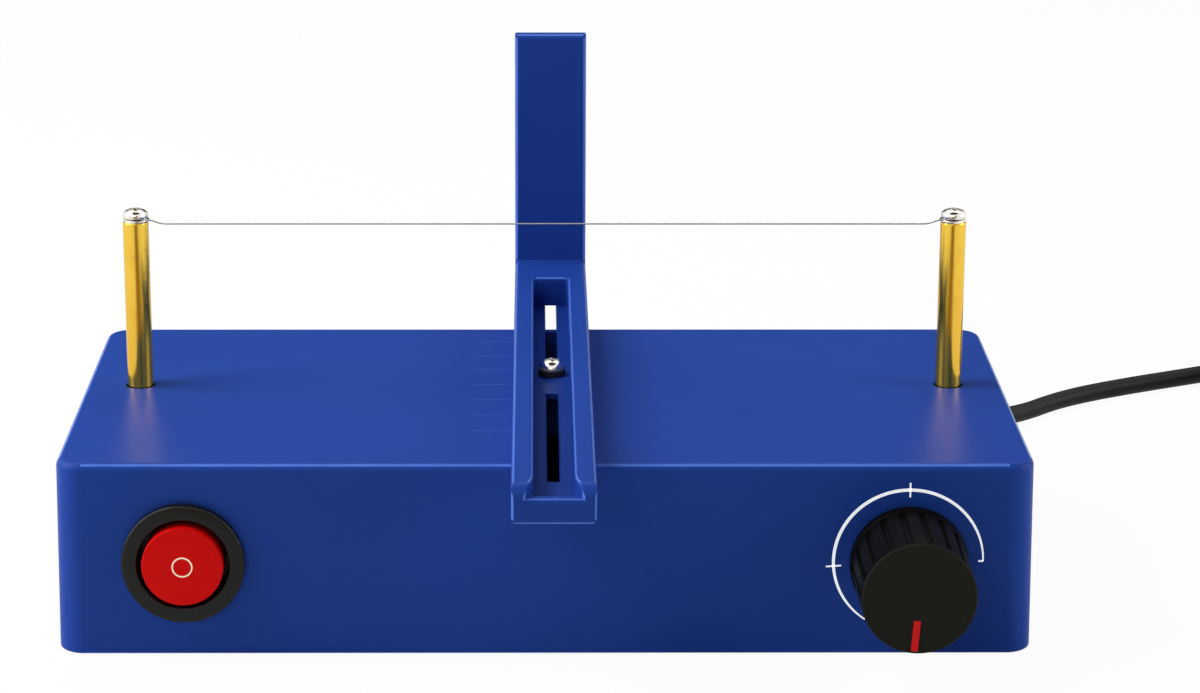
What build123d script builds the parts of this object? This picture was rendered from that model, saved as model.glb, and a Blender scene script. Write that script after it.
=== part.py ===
"""Bench hot-wire cutter for ribbon, webbing and cord.

A moulded housing carries two brass posts, and a resistance wire is stretched between
their tops. A sliding stop guide lies across the top face under the wire. The front face
has a push switch and a heat knob, and a low-voltage lead leaves the rear wall.

Frame: origin on the table under the middle of the housing, +X to the right, +Y to the
rear, +Z up. All sizes are in millimetres.
"""

import math
import os

from build123d import *

# Housing shell
housing_length = 180.0
housing_depth = 91.0
housing_top = 37.2
rim_lift = 0.3
side_draft = 0.75
wall = 2.5
roof = 3.0
corner_radius = 5.0
top_edge_radius = 1.4
rim_edge_radius = 0.5
boss_diameter = 8.4
boss_inset = 6.4
rear_boss_x = 60.0
roof_slot_width = 3.0
roof_slot_notch = 6.2
roof_slot_margin = 0.5

# Scale grooves beside the guide
mark_pitch = 10.0
mark_count = 7
mark_length = 7.6
mark_width = 0.4
mark_depth = 0.15
mark_gap = 0.4

# Base plate, its screws and feet
base_thickness = 2.6
base_fit = 0.3
base_screw_diameter = 2.9
base_screw_head = 5.6
base_screw_length = 12.0
base_screw_hole = 3.3
pilot_clearance = 0.05
pilot_spare = 2.0
foot_diameter = 9.0
foot_recess = 1.0
foot_fit = 0.1
foot_inset_x = 14.0
foot_inset_y = 11.0
vents_per_side = 3
vent_pitch = 6.0
vent_length = 24.0
vent_width = 2.4
vent_x = -46.0

# Posts and the wire between them
post_inset = 10.7
post_y = 5.1
post_diameter = 5.0
post_rise = 33.1
post_hole = 5.8
post_edge = 0.25
cup_diameter = 11.0
cup_depth = 9.0
cup_floor = 3.0
stud_diameter = 4.0
stud_length = 8.4
stud_hole = 4.2
wire_diameter = 0.3
wire_sides = 6
wire_dip = 0.87
wire_dip_run = 1.8
wire_lead_off = 0.4
wire_bend_radius = 1.0
wire_loop_sweep = 300.0
wire_loop_clearance = 0.1
post_bore_depth = 9.0
wire_washer_diameter = 5.0
wire_washer_thickness = 0.5
wire_washer_hole = 2.9
wire_washer_shift = 0.2

# Oval pan-head screws for the posts and the guide
wire_head_diameter = 4.9
wire_head_height = 1.8
wire_head_rim = 0.5
guide_head_diameter = 5.3
guide_head_height = 3.2
guide_head_rim = 1.0
pan_shank = 2.3
pan_thread_clearance = 0.1
cross_slot_length = 2.9
cross_slot_width = 0.7
cross_slot_depth = 1.2
post_screw_length = 7.0

# Hardware under each post
lug_thickness = 0.8
lug_diameter = 8.0
lug_barrel_diameter = 3.2
lug_barrel_length = 6.0
lug_barrel_reach = 6.2
lug_neck_width = 3.2
post_washer_diameter = 9.0
post_washer_thickness = 0.8
post_nut_flats = 7.0
post_nut_height = 3.2
stud_nut_clearance = 0.05

# Sliding stop guide
guide_x = 1.4
guide_front_overhang = 33.6
guide_rear_overhang = 28.9
guide_width = 15.0
guide_height = 7.1
guide_floor = 1.0
guide_slide_gap = 0.05
guide_edge_round = 0.9
guide_nose_round = 0.7
channel_width = 7.2
channel_edge_round = 0.7
pocket_corner = 0.6
end_block_length = 12.8
mouth_width = 10.5
mouth_length = 7.0
mouth_sill = 4.7
ramp_length = 12.0
ramp_land = 1.6
stop_plate_height = 56.5
stop_plate_thickness = 2.6
stop_plate_corner = 0.4
stop_plate_root = 0.6
rib_thickness = 2.4
rib_depth = 5.0
rib_height = 44.0
rib_foot = 1.5
slot_width = 2.5
front_slot_inset = 20.5
slot_bridge = 11.4
slot_corner = 0.3
slot_undercut = 4.5
guide_screw_y = 8.6
guide_screw_ahead = 2.0
guide_nut_flats = 5.0
guide_nut_height = 2.0
guide_nut_boss = 9.6
guide_nut_boss_depth = 7.0
guide_nut_fit = 0.12
guide_nut_cover = 3.0
guide_screw_hole = 2.8
guide_screw_spare = 1.0

# Push switch
control_height = 18.5
switch_inset = 23.4
bezel_diameter = 22.7
bezel_thickness = 2.0
bezel_edge = 0.35
switch_barrel_diameter = 19.8
switch_hole_clearance = 0.2
switch_barrel_length = 21.0
button_diameter = 15.3
button_gap = 0.85
button_proud = 1.3
button_edge = 0.4
button_well = 7.0
button_travel = 2.5
button_stop_gap = 0.4
button_stem = 6.0
button_stem_gap = 0.3
button_stem_length = 5.0
switch_nut_diameter = 24.5
switch_nut_thickness = 4.0
switch_nut_flutes = 12
switch_nut_flute = 1.4
switch_thread_gap = 0.05
blade_width = 4.8
blade_thickness = 0.8
blade_length = 7.0
blade_spacing = 8.0

# Heat control: potentiometer and knob
knob_inset = 23.1
pot_body_diameter = 16.4
pot_body_depth = 9.0
bush_diameter = 7.0
bush_hole_clearance = 0.15
bush_length = 8.0
pot_washer_diameter = 12.0
pot_washer_thickness = 0.5
pot_nut_flats = 10.0
pot_nut_height = 2.2
bush_nut_clearance = 0.05
shaft_diameter = 6.0
shaft_length = 12.0
shaft_fit = 0.05
pot_lug_width = 1.6
pot_lug_thickness = 0.6
pot_lug_length = 3.5
pot_lug_pitch = 5.0
pot_lug_gap = 0.05
knob_panel_gap = 0.8
knob_height = 19.6
knob_skirt_diameter = 21.8
knob_skirt = 2.4
knob_skirt_edge = 0.7
knob_grip_diameter = 21.2
knob_taper = 0.6
knob_cap = 1.2
knob_edge = 0.4
knob_flutes = 18
knob_flute_width = 1.1
knob_flute_depth = 0.6
knob_hollow_diameter = 16.0
knob_hollow_depth = 7.5
knob_bore_fit = 0.05
pointer_width = 1.25
pointer_length = 5.8
pointer_depth = 0.6
pointer_edge_gap = 0.1
pointer_rest_angle = 4.0

# Control board and what it carries
board_length = 64.0
board_width = 42.0
board_thickness = 1.6
board_y = 16.0
board_lift = 4.0
board_corner = 2.0
standoff_diameter = 6.0
standoff_inset = 4.0
board_screw_diameter = 2.0
board_screw_head = 3.8
board_screw_head_height = 1.4
board_screw_grip = 3.0
board_hole = 2.4
block_pitch = 5.0
block_depth = 8.0
block_height = 10.0
block_ports = 4
block_port_height = 4.0
block_port_depth = 4.0
block_port_clearance = 0.1
block_x = -16.0
block_inset = 1.0
supply_ports = 2
supply_behind = 4.0
header_length = 7.6
header_width = 5.0
header_height = 6.0
header_x = 22.0
capacitor_diameter = 10.0
capacitor_height = 17.0
capacitor_x = 8.0
capacitor_ahead = 8.0
capacitor_crown = 0.8
sink_length = 25.0
sink_depth = 13.0
sink_height = 18.0
sink_web = 3.0
sink_fins = 7
sink_fin_thickness = 1.4
sink_x = -12.0
sink_behind = 11.0
transistor_width = 10.0
transistor_height = 15.0
transistor_depth = 4.4
transistor_tab = 1.3
transistor_body_height = 9.0
transistor_lift = 1.2

# Insulated leads inside
lead_diameter = 1.8
lead_sides = 6
signal_lead_diameter = 1.2
pot_lead_turn_y = -33.0
pot_lead_bends = [(50.0, -29.0, 8.5), (34.0, -24.0, 10.0), (23.0, -19.5, 11.5)]
pot_lead_entry_y = -12.5
pot_lead_spread = 2.5

# Supply lead: strain relief, free stretch, coil, tie and plug
cord_diameter = 4.0
cord_sides = 8
cord_exit_inset = 9.0
cord_exit_height = 14.0
relief_length = 10.0
relief_collar_diameter = 8.0
relief_collar_length = 2.0
relief_neck_diameter = 6.2
relief_neck_clearance = 0.1
relief_flange_diameter = 8.6
relief_flange_thickness = 2.4
relief_tip_wall = 0.9
relief_root_diameter = 7.0
relief_groove_count = 3
relief_groove_pitch = 2.2
relief_groove_width = 1.0
relief_groove_depth = 0.6
coil_entry_aside = 105.0
coil_entry_behind = 90.5
coil_outer_radius = 29.8
coil_half_turns = 6
coil_turn_gap = 0.6
tie_width = 6.0
tie_thickness = 0.8
tie_clearance = 0.5
tie_side_clearance = 1.0
tie_corner = 1.4
tail_drop_run = 30.0
plug_diameter = 9.6
plug_grip_length = 14.0
plug_taper_length = 9.0
plug_collar_diameter = 8.0
plug_collar_length = 1.6
plug_groove_count = 4
plug_groove_pitch = 2.6
plug_groove_width = 1.0
plug_groove_depth = 0.4
barrel_diameter = 5.5
barrel_length = 9.5
barrel_bore = 2.1
barrel_bore_depth = 8.5
barrel_edge = 0.3
plug_tip_wall = 0.7

# Places worked out from the sizes above
front_y = -housing_depth / 2
rear_y = housing_depth / 2
inner_front_y = front_y + wall
inner_rear_y = rear_y - wall
roof_under = housing_top - roof
rim_half_length = housing_length / 2 + (housing_top - rim_lift) * math.tan(
    math.radians(side_draft)
)
base_top = rim_lift + base_thickness
post_x = housing_length / 2 - post_inset
post_top = housing_top + post_rise
cup_floor_top = roof_under - cup_depth + cup_floor
cup_bottom = roof_under - cup_depth
switch_x = switch_inset - housing_length / 2
knob_x = housing_length / 2 - knob_inset
cord_exit_x = housing_length / 2 - cord_exit_inset
front_boss_x = housing_length / 2 - boss_inset
boss_y = housing_depth / 2 - boss_inset
boss_places = [
    (-front_boss_x, -boss_y),
    (front_boss_x, -boss_y),
    (-rear_boss_x, boss_y),
    (rear_boss_x, boss_y),
]
foot_x = housing_length / 2 - foot_inset_x
foot_y = housing_depth / 2 - foot_inset_y
foot_places = [(-foot_x, -foot_y), (foot_x, -foot_y), (-foot_x, foot_y), (foot_x, foot_y)]
board_bottom = base_top + board_lift
board_top = board_bottom + board_thickness
supply_y = board_y + supply_behind
capacitor_y = board_y - capacitor_ahead
sink_y = board_y + sink_behind
standoff_x = board_length / 2 - standoff_inset
standoff_y = board_width / 2 - standoff_inset
standoff_places = [
    (sx * standoff_x, board_y + sy * standoff_y) for sx in (-1, 1) for sy in (-1, 1)
]

# Sketch planes: x stays +X and y stays +Z on the upright ones
front_panel = Plane(origin=(0, front_y, 0), x_dir=(1, 0, 0), z_dir=(0, -1, 0))
rear_panel = Plane(origin=(0, rear_y, 0), x_dir=(-1, 0, 0), z_dir=(0, 1, 0))


def front_plane(x, proud=0.0):
    """Plane on a control's axis, facing forward, some way in front of the panel."""
    return Plane(
        origin=(x, front_y - proud, control_height), x_dir=(1, 0, 0), z_dir=(0, -1, 0)
    )


def bend_radii(points):
    """Largest tidy radius at each inner point of a route."""
    radii = []
    for before, here, after in zip(points, points[1:], points[2:]):
        first = Vector(here) - Vector(before)
        second = Vector(after) - Vector(here)
        half_turn = math.radians(first.get_angle(second)) / 2
        radii.append(0.45 * min(first.length, second.length) / math.tan(half_turn))
    return radii


def write(part, name):
    """Label a finished piece and write it."""
    part.label = name
    export_step(part, f"parts/{name}.step")


os.makedirs("parts", exist_ok=True)

# Housing: a moulded shell, open below, with its bosses and cups
with BuildPart() as housing:
    with BuildSketch(front_panel):
        with BuildLine():
            Polyline(
                (-rim_half_length, rim_lift),
                (rim_half_length, rim_lift),
                (housing_length / 2, housing_top),
                (-housing_length / 2, housing_top),
                close=True,
            )
        make_face()
    extrude(amount=-housing_depth)
    upright_edges = housing.edges().filter_by_position(
        Axis.Z, rim_lift + wall, housing_top - roof
    )
    fillet(upright_edges, radius=corner_radius)
    fillet(housing.faces().sort_by(Axis.Z)[-1].edges(), radius=top_edge_radius)
    fillet(housing.faces().sort_by(Axis.Z)[0].edges(), radius=rim_edge_radius)
    with BuildSketch(Plane.XY.offset(rim_lift)):
        RectangleRounded(
            housing_length - 2 * wall,
            housing_depth - 2 * wall,
            max(corner_radius - wall, rim_edge_radius),
        )
    extrude(amount=roof_under - rim_lift, mode=Mode.SUBTRACT)
    # Screw bosses, post cups and the guide nut's boss hang from the roof
    with BuildSketch(Plane.XY.offset(base_top)):
        with Locations(*boss_places):
            Circle(boss_diameter / 2)
    extrude(amount=housing_top - roof / 2 - base_top)
    with BuildSketch(Plane.XY.offset(cup_bottom)):
        with Locations((-post_x, post_y), (post_x, post_y)):
            Circle(cup_diameter / 2)
    extrude(amount=cup_depth + roof / 2)
    with BuildSketch(Plane.XY.offset(roof_under - guide_nut_boss_depth)):
        with Locations((guide_x, guide_screw_y)):
            Circle(guide_nut_boss / 2)
    extrude(amount=guide_nut_boss_depth + roof / 2)
    # Pilot holes for the base screws
    with BuildSketch(Plane.XY.offset(base_top)):
        with Locations(*boss_places):
            Circle(base_screw_diameter / 2 + pilot_clearance)
    extrude(amount=base_screw_length - base_thickness + pilot_spare, mode=Mode.SUBTRACT)
    # Post holes through the roof and the smaller stud holes below them
    with BuildSketch(Plane.XY.offset(cup_floor_top)):
        with Locations((-post_x, post_y), (post_x, post_y)):
            Circle(post_hole / 2)
    extrude(amount=housing_top - cup_floor_top, mode=Mode.SUBTRACT)
    with BuildSketch(Plane.XY.offset(cup_bottom)):
        with Locations((-post_x, post_y), (post_x, post_y)):
            Circle(stud_hole / 2)
    extrude(amount=cup_floor, mode=Mode.SUBTRACT)
    # Guide screw hole and the trap that holds its nut from below
    with BuildSketch(Plane.XY.offset(roof_under - guide_nut_boss_depth)):
        with Locations((guide_x, guide_screw_y)):
            RegularPolygon(guide_nut_flats / 2 + guide_nut_fit, 6, major_radius=False)
    extrude(amount=guide_nut_boss_depth + roof - guide_nut_cover, mode=Mode.SUBTRACT)
    with BuildSketch(Plane.XY.offset(housing_top)):
        with Locations((guide_x, guide_screw_y)):
            Circle(guide_screw_hole / 2)
    extrude(amount=-roof, mode=Mode.SUBTRACT)
    # Slots through the roof under the guide's own; the front one opens through the wall's top
    boss_reach = guide_nut_boss / 2 + roof_slot_margin
    with BuildSketch(Plane.XY.offset(housing_top)):
        for slot_front, slot_rear in (
            (front_y, guide_screw_y - boss_reach),
            (guide_screw_y + boss_reach, inner_rear_y - roof_slot_margin),
        ):
            with Locations((guide_x, (slot_front + slot_rear) / 2)):
                Rectangle(roof_slot_width, slot_rear - slot_front)
    extrude(amount=-roof, mode=Mode.SUBTRACT)
    with BuildSketch(front_panel):
        with Locations((guide_x, housing_top - roof_slot_notch / 2)):
            Rectangle(roof_slot_width, roof_slot_notch)
    extrude(amount=-wall, mode=Mode.SUBTRACT)
    # Panel holes for the switch, the heat control and the lead
    with BuildSketch(front_panel):
        with Locations((switch_x, control_height)):
            Circle(switch_barrel_diameter / 2 + switch_hole_clearance)
        with Locations((knob_x, control_height)):
            Circle(bush_diameter / 2 + bush_hole_clearance)
    extrude(amount=-wall, mode=Mode.SUBTRACT)
    with BuildSketch(rear_panel):
        with Locations((-cord_exit_x, cord_exit_height)):
            Circle(relief_neck_diameter / 2 + relief_neck_clearance)
    extrude(amount=-wall, mode=Mode.SUBTRACT)
    # Scale grooves, centred on the wire
    with BuildSketch(Plane.XY.offset(housing_top)):
        with Locations((guide_x - guide_width / 2 - mark_gap - mark_length / 2, post_y)):
            with GridLocations(1, mark_pitch, 1, mark_count):
                Rectangle(mark_length, mark_width)
    extrude(amount=-mark_depth, mode=Mode.SUBTRACT)
write(housing.part, "housing")

# Base plate with countersunk holes, foot recesses, vents and board standoffs
with BuildPart() as base_plate:
    with BuildSketch(Plane.XY.offset(rim_lift)):
        RectangleRounded(
            housing_length - 2 * (wall + base_fit),
            housing_depth - 2 * (wall + base_fit),
            max(corner_radius - wall - base_fit, rim_edge_radius),
        )
    extrude(amount=base_thickness)
    with BuildSketch(Plane.XY.offset(base_top)):
        with Locations(*standoff_places):
            Circle(standoff_diameter / 2)
    extrude(amount=board_lift)
    with Locations(*[Location((x, y, rim_lift), (180, 0, 0)) for x, y in boss_places]):
        CounterSinkHole(base_screw_hole / 2, base_screw_head / 2 + base_fit, base_thickness, 90)
    with BuildSketch(Plane.XY.offset(rim_lift)):
        with Locations(*foot_places):
            Circle(foot_diameter / 2 + foot_fit)
    extrude(amount=foot_recess, mode=Mode.SUBTRACT)
    with BuildSketch(Plane.XY.offset(board_bottom)):
        with Locations(*standoff_places):
            Circle(board_screw_diameter / 2 + pilot_clearance)
    extrude(amount=-board_lift, mode=Mode.SUBTRACT)
    with BuildSketch(Plane.XY.offset(rim_lift)):
        with Locations((vent_x, 0), (-vent_x, 0)):
            with GridLocations(vent_pitch, 1, vents_per_side, 1):
                SlotOverall(vent_length, vent_width, rotation=90)
    extrude(amount=base_thickness, mode=Mode.SUBTRACT)
write(base_plate.part, "base_plate")

# Four countersunk screws hold the base plate to the bosses
with BuildPart() as base_screws:
    with BuildSketch(Plane.XY.offset(rim_lift)):
        with Locations(*boss_places):
            Circle(base_screw_head / 2)
    extrude(amount=(base_screw_head - base_screw_diameter) / 2, taper=45)
    with BuildSketch(Plane.XY.offset(rim_lift)):
        with Locations(*boss_places):
            Circle(base_screw_diameter / 2)
    extrude(amount=base_screw_length)
write(base_screws.part, "base_screws")

# Four rubber feet sit in the recesses and lift the rim off the table
with BuildPart() as rubber_feet:
    with BuildSketch(Plane.XY):
        with Locations(*foot_places):
            Circle(foot_diameter / 2)
    extrude(amount=rim_lift + foot_recess)
    chamfer(rubber_feet.faces().group_by(Axis.Z)[0].edges(), length=rim_lift / 2)
write(rubber_feet.part, "rubber_feet")

# Brass posts: each stands on its cup's floor, with a stud below and a threaded bore on top
for side, name in ((-1, "left_post"), (1, "right_post")):
    with BuildPart() as post:
        with BuildSketch(Plane.XY.offset(cup_floor_top)):
            with Locations((side * post_x, post_y)):
                Circle(post_diameter / 2)
        extrude(amount=post_top - cup_floor_top)
        chamfer(post.faces().sort_by(Axis.Z)[-1].edges(), length=post_edge)
        with BuildSketch(Plane.XY.offset(cup_floor_top)):
            with Locations((side * post_x, post_y)):
                Circle(stud_diameter / 2)
        extrude(amount=-cup_floor - stud_length)
        with BuildSketch(Plane.XY.offset(post_top)):
            with Locations((side * post_x, post_y)):
                Circle(pan_shank / 2 + pan_thread_clearance)
        extrude(amount=-post_bore_depth, mode=Mode.SUBTRACT)
    write(post.part, name)


def pan_screw(x, y, seat, length, head_diameter, head_height, head_rim):
    """Oval-crowned screw with a cross slot, its head's underside at the seat height."""
    upright = Plane(origin=(x, y, seat), x_dir=(1, 0, 0), z_dir=(0, -1, 0))
    with BuildPart() as screw:
        with BuildSketch(upright):
            with BuildLine():
                Polyline(
                    (0, head_height),
                    (0, -length),
                    (pan_shank / 2, -length),
                    (pan_shank / 2, 0),
                    (head_diameter / 2, 0),
                    (head_diameter / 2, head_rim),
                )
                EllipticalCenterArc(
                    (0, head_rim), head_diameter / 2, head_height - head_rim, arc_size=90
                )
            make_face()
        revolve(axis=Axis((x, y, seat), (0, 0, 1)))
        with BuildSketch(Plane.XY.offset(seat + head_height)):
            with Locations((x, y)):
                Rectangle(cross_slot_length, cross_slot_width)
                Rectangle(cross_slot_width, cross_slot_length)
        extrude(amount=-cross_slot_depth, mode=Mode.SUBTRACT)
    return screw.part


# Screws on the posts clamp the ends of the wire on a washer
washer_seat = post_top + wire_washer_thickness
clamp_seat = washer_seat + wire_diameter
for side, name in ((-1, "left_wire_screw"), (1, "right_wire_screw")):
    wire_screw = pan_screw(
        side * post_x,
        post_y,
        clamp_seat,
        post_screw_length,
        wire_head_diameter,
        wire_head_height,
        wire_head_rim,
    )
    write(wire_screw, name)

# Washers under the wire, pulled towards it by their play on the screw
wire_washer_x = post_x - wire_washer_shift
with BuildPart() as wire_washers:
    with BuildSketch(Plane.XY.offset(post_top)):
        with Locations((-wire_washer_x, post_y), (wire_washer_x, post_y)):
            Circle(wire_washer_diameter / 2)
            Circle(wire_washer_hole / 2, mode=Mode.SUBTRACT)
    extrude(amount=wire_washer_thickness)
write(wire_washers.part, "wire_washers")

# Resistance wire: a loop under each screw head, a small dip past each post, one straight run
loop_radius = pan_shank / 2 + wire_loop_clearance + wire_diameter / 2
wire_y = post_y - loop_radius
clamp_z = washer_seat + wire_diameter / 2
run_z = clamp_z - wire_dip
dip_start_x = post_x - post_diameter / 2 - wire_lead_off
dip_end_x = dip_start_x - wire_dip_run
with BuildPart() as hot_wire:
    with BuildLine() as wire_path:
        with BuildLine(Plane.XY.offset(clamp_z)):
            CenterArc((-post_x, post_y), loop_radius, 270 - wire_loop_sweep, wire_loop_sweep)
            CenterArc((post_x, post_y), loop_radius, 270, wire_loop_sweep)
        FilletPolyline(
            (-post_x, wire_y, clamp_z),
            (-dip_start_x, wire_y, clamp_z),
            (-dip_end_x, wire_y, run_z),
            (dip_end_x, wire_y, run_z),
            (dip_start_x, wire_y, clamp_z),
            (post_x, wire_y, clamp_z),
            radius=wire_bend_radius,
        )
    wire_start = wire_path.edges().sort_by(Axis.X)[0]
    with BuildSketch(Plane(origin=wire_start @ 0, z_dir=wire_start % 0)):
        RegularPolygon(wire_diameter / 2, wire_sides)
    sweep(path=wire_path.wires()[0])
write(hot_wire.part, "hot_wire")

# Ring terminals, washers and nuts under the cups
lug_barrel_z = cup_bottom - lug_barrel_diameter / 2
with BuildPart() as ring_terminals:
    for side in (-1, 1):
        neck_reach = lug_barrel_reach + lug_barrel_length / 2
        with BuildSketch(Plane.XY.offset(cup_bottom - lug_thickness)):
            with Locations((side * post_x, post_y)):
                Circle(lug_diameter / 2)
            with Locations((side * (post_x - neck_reach / 2), post_y)):
                Rectangle(neck_reach, lug_neck_width)
            with Locations((side * post_x, post_y)):
                Circle(stud_hole / 2, mode=Mode.SUBTRACT)
        extrude(amount=lug_thickness)
        barrel_plane = Plane(
            origin=(side * (post_x - lug_barrel_reach), post_y, lug_barrel_z),
            z_dir=(-side, 0, 0),
        )
        with BuildSketch(barrel_plane):
            Circle(lug_barrel_diameter / 2)
        extrude(amount=lug_barrel_length)
write(ring_terminals.part, "ring_terminals")

washer_top = cup_bottom - lug_thickness
with BuildPart() as post_washers:
    with BuildSketch(Plane.XY.offset(washer_top)):
        with Locations((-post_x, post_y), (post_x, post_y)):
            Circle(post_washer_diameter / 2)
            Circle(stud_hole / 2, mode=Mode.SUBTRACT)
    extrude(amount=-post_washer_thickness)
write(post_washers.part, "post_washers")

with BuildPart() as post_nuts:
    with BuildSketch(Plane.XY.offset(washer_top - post_washer_thickness)):
        with Locations((-post_x, post_y), (post_x, post_y)):
            RegularPolygon(post_nut_flats / 2, 6, major_radius=False)
            Circle(stud_diameter / 2 + stud_nut_clearance, mode=Mode.SUBTRACT)
    extrude(amount=-post_nut_height)
write(post_nuts.part, "post_nuts")

# Stop guide: one L-shaped moulding, a channelled bar with an upright stop plate at the rear
guide_bottom = housing_top + guide_slide_gap
guide_top = guide_bottom + guide_height
guide_front_y = front_y - guide_front_overhang
guide_rear_y = rear_y + guide_rear_overhang
plate_front_y = guide_rear_y - stop_plate_thickness
pocket_rear_y = plate_front_y - end_block_length
guide_side = Plane(origin=(guide_x, 0, guide_bottom), x_dir=(0, 1, 0), z_dir=(1, 0, 0))
half_channel = channel_width / 2
rear_slot_front_y = guide_screw_y - guide_screw_ahead
front_slot_front_y = guide_front_y + front_slot_inset
front_slot_rear_y = rear_slot_front_y - slot_bridge
rear_slot_rear_y = pocket_rear_y + slot_undercut
with BuildPart() as stop_guide:
    with BuildSketch(guide_side):
        with BuildLine():
            Polyline(
                (guide_front_y, 0),
                (guide_rear_y, 0),
                (guide_rear_y, stop_plate_height),
                (plate_front_y, stop_plate_height),
                (plate_front_y, guide_height),
                (guide_front_y, guide_height),
                close=True,
            )
        side_face = make_face()
        plate_root = side_face.vertices().sort_by_distance((plate_front_y, guide_height, 0))[0]
        fillet(plate_root, radius=stop_plate_root)
    extrude(amount=guide_width / 2, both=True)
    plate_corners = stop_guide.edges().filter_by(Axis.Y).group_by(Axis.Z)[-1]
    fillet(plate_corners, radius=stop_plate_corner)
    bar_edges = stop_guide.edges().filter_by(Axis.Y).group_by(Axis.Z)[1]
    fillet(bar_edges, radius=guide_edge_round)
    # Channel with a ramp up to its flared mouth at the front
    with BuildSketch(guide_side):
        with BuildLine():
            Polyline(
                (pocket_rear_y, guide_height),
                (pocket_rear_y, guide_floor),
                (guide_front_y + ramp_length, guide_floor),
                (guide_front_y + ramp_land, mouth_sill),
                (guide_front_y + ramp_land, guide_height),
                close=True,
            )
        make_face()
    extrude(amount=half_channel, both=True, mode=Mode.SUBTRACT)
    pocket_uprights = (
        stop_guide.edges()
        .filter_by(Axis.Z)
        .filter_by_position(Axis.Y, pocket_rear_y - pocket_corner, pocket_rear_y + pocket_corner)
    )
    fillet(pocket_uprights, radius=pocket_corner)
    mouth_rear_y = guide_front_y + mouth_length
    with BuildSketch(Plane.XY.offset(guide_top)):
        with BuildLine():
            left_root = (guide_x - half_channel, mouth_rear_y)
            right_root = (guide_x + half_channel, mouth_rear_y)
            left_lip = (guide_x - mouth_width / 2, guide_front_y)
            right_lip = (guide_x + mouth_width / 2, guide_front_y)
            TangentArc(left_root, left_lip, tangent=(0, -1))
            Line(left_lip, right_lip)
            TangentArc(right_root, right_lip, tangent=(0, -1))
            Line(right_root, left_root)
        make_face()
    extrude(amount=mouth_sill - guide_height, mode=Mode.SUBTRACT)
    # Soft edges round the channel's rim and the nose
    bar_top = stop_guide.faces().filter_by(Axis.Z).group_by(Axis.Z)[-2]
    channel_rim = (
        bar_top.edges()
        .filter_by_position(Axis.X, guide_x - mouth_width / 2, guide_x + mouth_width / 2)
        .filter_by_position(Axis.Y, guide_front_y, plate_front_y - end_block_length / 2)
    )
    fillet(channel_rim, radius=channel_edge_round)
    fillet(stop_guide.faces().sort_by(Axis.Y)[0].edges(), radius=guide_nose_round)
    # Clamp slots through the floor
    with BuildSketch(Plane.XY.offset(guide_bottom)):
        for slot_front, slot_rear in (
            (front_slot_front_y, front_slot_rear_y),
            (rear_slot_front_y, rear_slot_rear_y),
        ):
            with Locations((guide_x, (slot_front + slot_rear) / 2)):
                RectangleRounded(slot_width, slot_rear - slot_front, slot_corner)
    extrude(amount=guide_floor, mode=Mode.SUBTRACT)
    # Rib that keeps the plate upright
    with BuildSketch(guide_side):
        with BuildLine():
            Polyline(
                (guide_rear_y, 0),
                (guide_rear_y + rib_depth, 0),
                (guide_rear_y + rib_depth, rib_foot),
                (guide_rear_y, rib_height),
                close=True,
            )
        make_face()
    extrude(amount=rib_thickness / 2, both=True)
write(stop_guide.part, "stop_guide")

# The guide's clamp screw and the nut trapped under the roof
guide_floor_top = guide_bottom + guide_floor
guide_nut_top = housing_top - guide_nut_cover
guide_screw_seat = guide_floor_top + guide_slide_gap
guide_screw_length = guide_screw_seat - guide_nut_top + guide_nut_height + guide_screw_spare
guide_screw = pan_screw(
    guide_x,
    guide_screw_y,
    guide_screw_seat,
    guide_screw_length,
    guide_head_diameter,
    guide_head_height,
    guide_head_rim,
)
write(guide_screw, "guide_screw")

with BuildPart() as guide_nut:
    with BuildSketch(Plane.XY.offset(guide_nut_top)):
        with Locations((guide_x, guide_screw_y)):
            RegularPolygon(guide_nut_flats / 2, 6, major_radius=False)
            Circle(pan_shank / 2 + pan_thread_clearance, mode=Mode.SUBTRACT)
    extrude(amount=-guide_nut_height)
write(guide_nut.part, "guide_nut")

# Switch body: bezel, threaded barrel and the well that the button moves in
well_radius = button_diameter / 2 + button_gap
with BuildPart() as switch_body:
    with BuildSketch(front_plane(switch_x)):
        Circle(bezel_diameter / 2)
    extrude(amount=bezel_thickness)
    chamfer(switch_body.faces().sort_by(Axis.Y)[0].edges(), length=bezel_edge)
    with BuildSketch(front_plane(switch_x)):
        Circle(switch_barrel_diameter / 2)
    extrude(amount=-switch_barrel_length)
    with BuildSketch(front_plane(switch_x, bezel_thickness)):
        Circle(well_radius)
    extrude(amount=-bezel_thickness - button_well, mode=Mode.SUBTRACT)
    with BuildSketch(front_plane(switch_x, -button_well)):
        Circle(button_stem / 2 + button_stem_gap)
    extrude(
        amount=-button_stem_length - button_travel - button_stop_gap, mode=Mode.SUBTRACT
    )
write(switch_body.part, "switch_body")

# Button: a round cap on a stem
button_back = -button_well + button_travel + button_stop_gap
with BuildPart() as switch_button:
    with BuildSketch(front_plane(switch_x, button_back)):
        Circle(button_diameter / 2)
    extrude(amount=bezel_thickness + button_proud - button_back)
    fillet(switch_button.faces().sort_by(Axis.Y)[0].edges(), radius=button_edge)
    with BuildSketch(front_plane(switch_x, button_back)):
        Circle(button_stem / 2)
    extrude(amount=-button_stem_length)
write(switch_button.part, "switch_button")

with BuildPart() as switch_nut:
    with BuildSketch(front_plane(switch_x, -wall)):
        Circle(switch_nut_diameter / 2)
        with PolarLocations(switch_nut_diameter / 2, switch_nut_flutes):
            Circle(switch_nut_flute, mode=Mode.SUBTRACT)
        Circle(switch_barrel_diameter / 2 + switch_thread_gap, mode=Mode.SUBTRACT)
    extrude(amount=-switch_nut_thickness)
write(switch_nut.part, "switch_nut")

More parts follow.
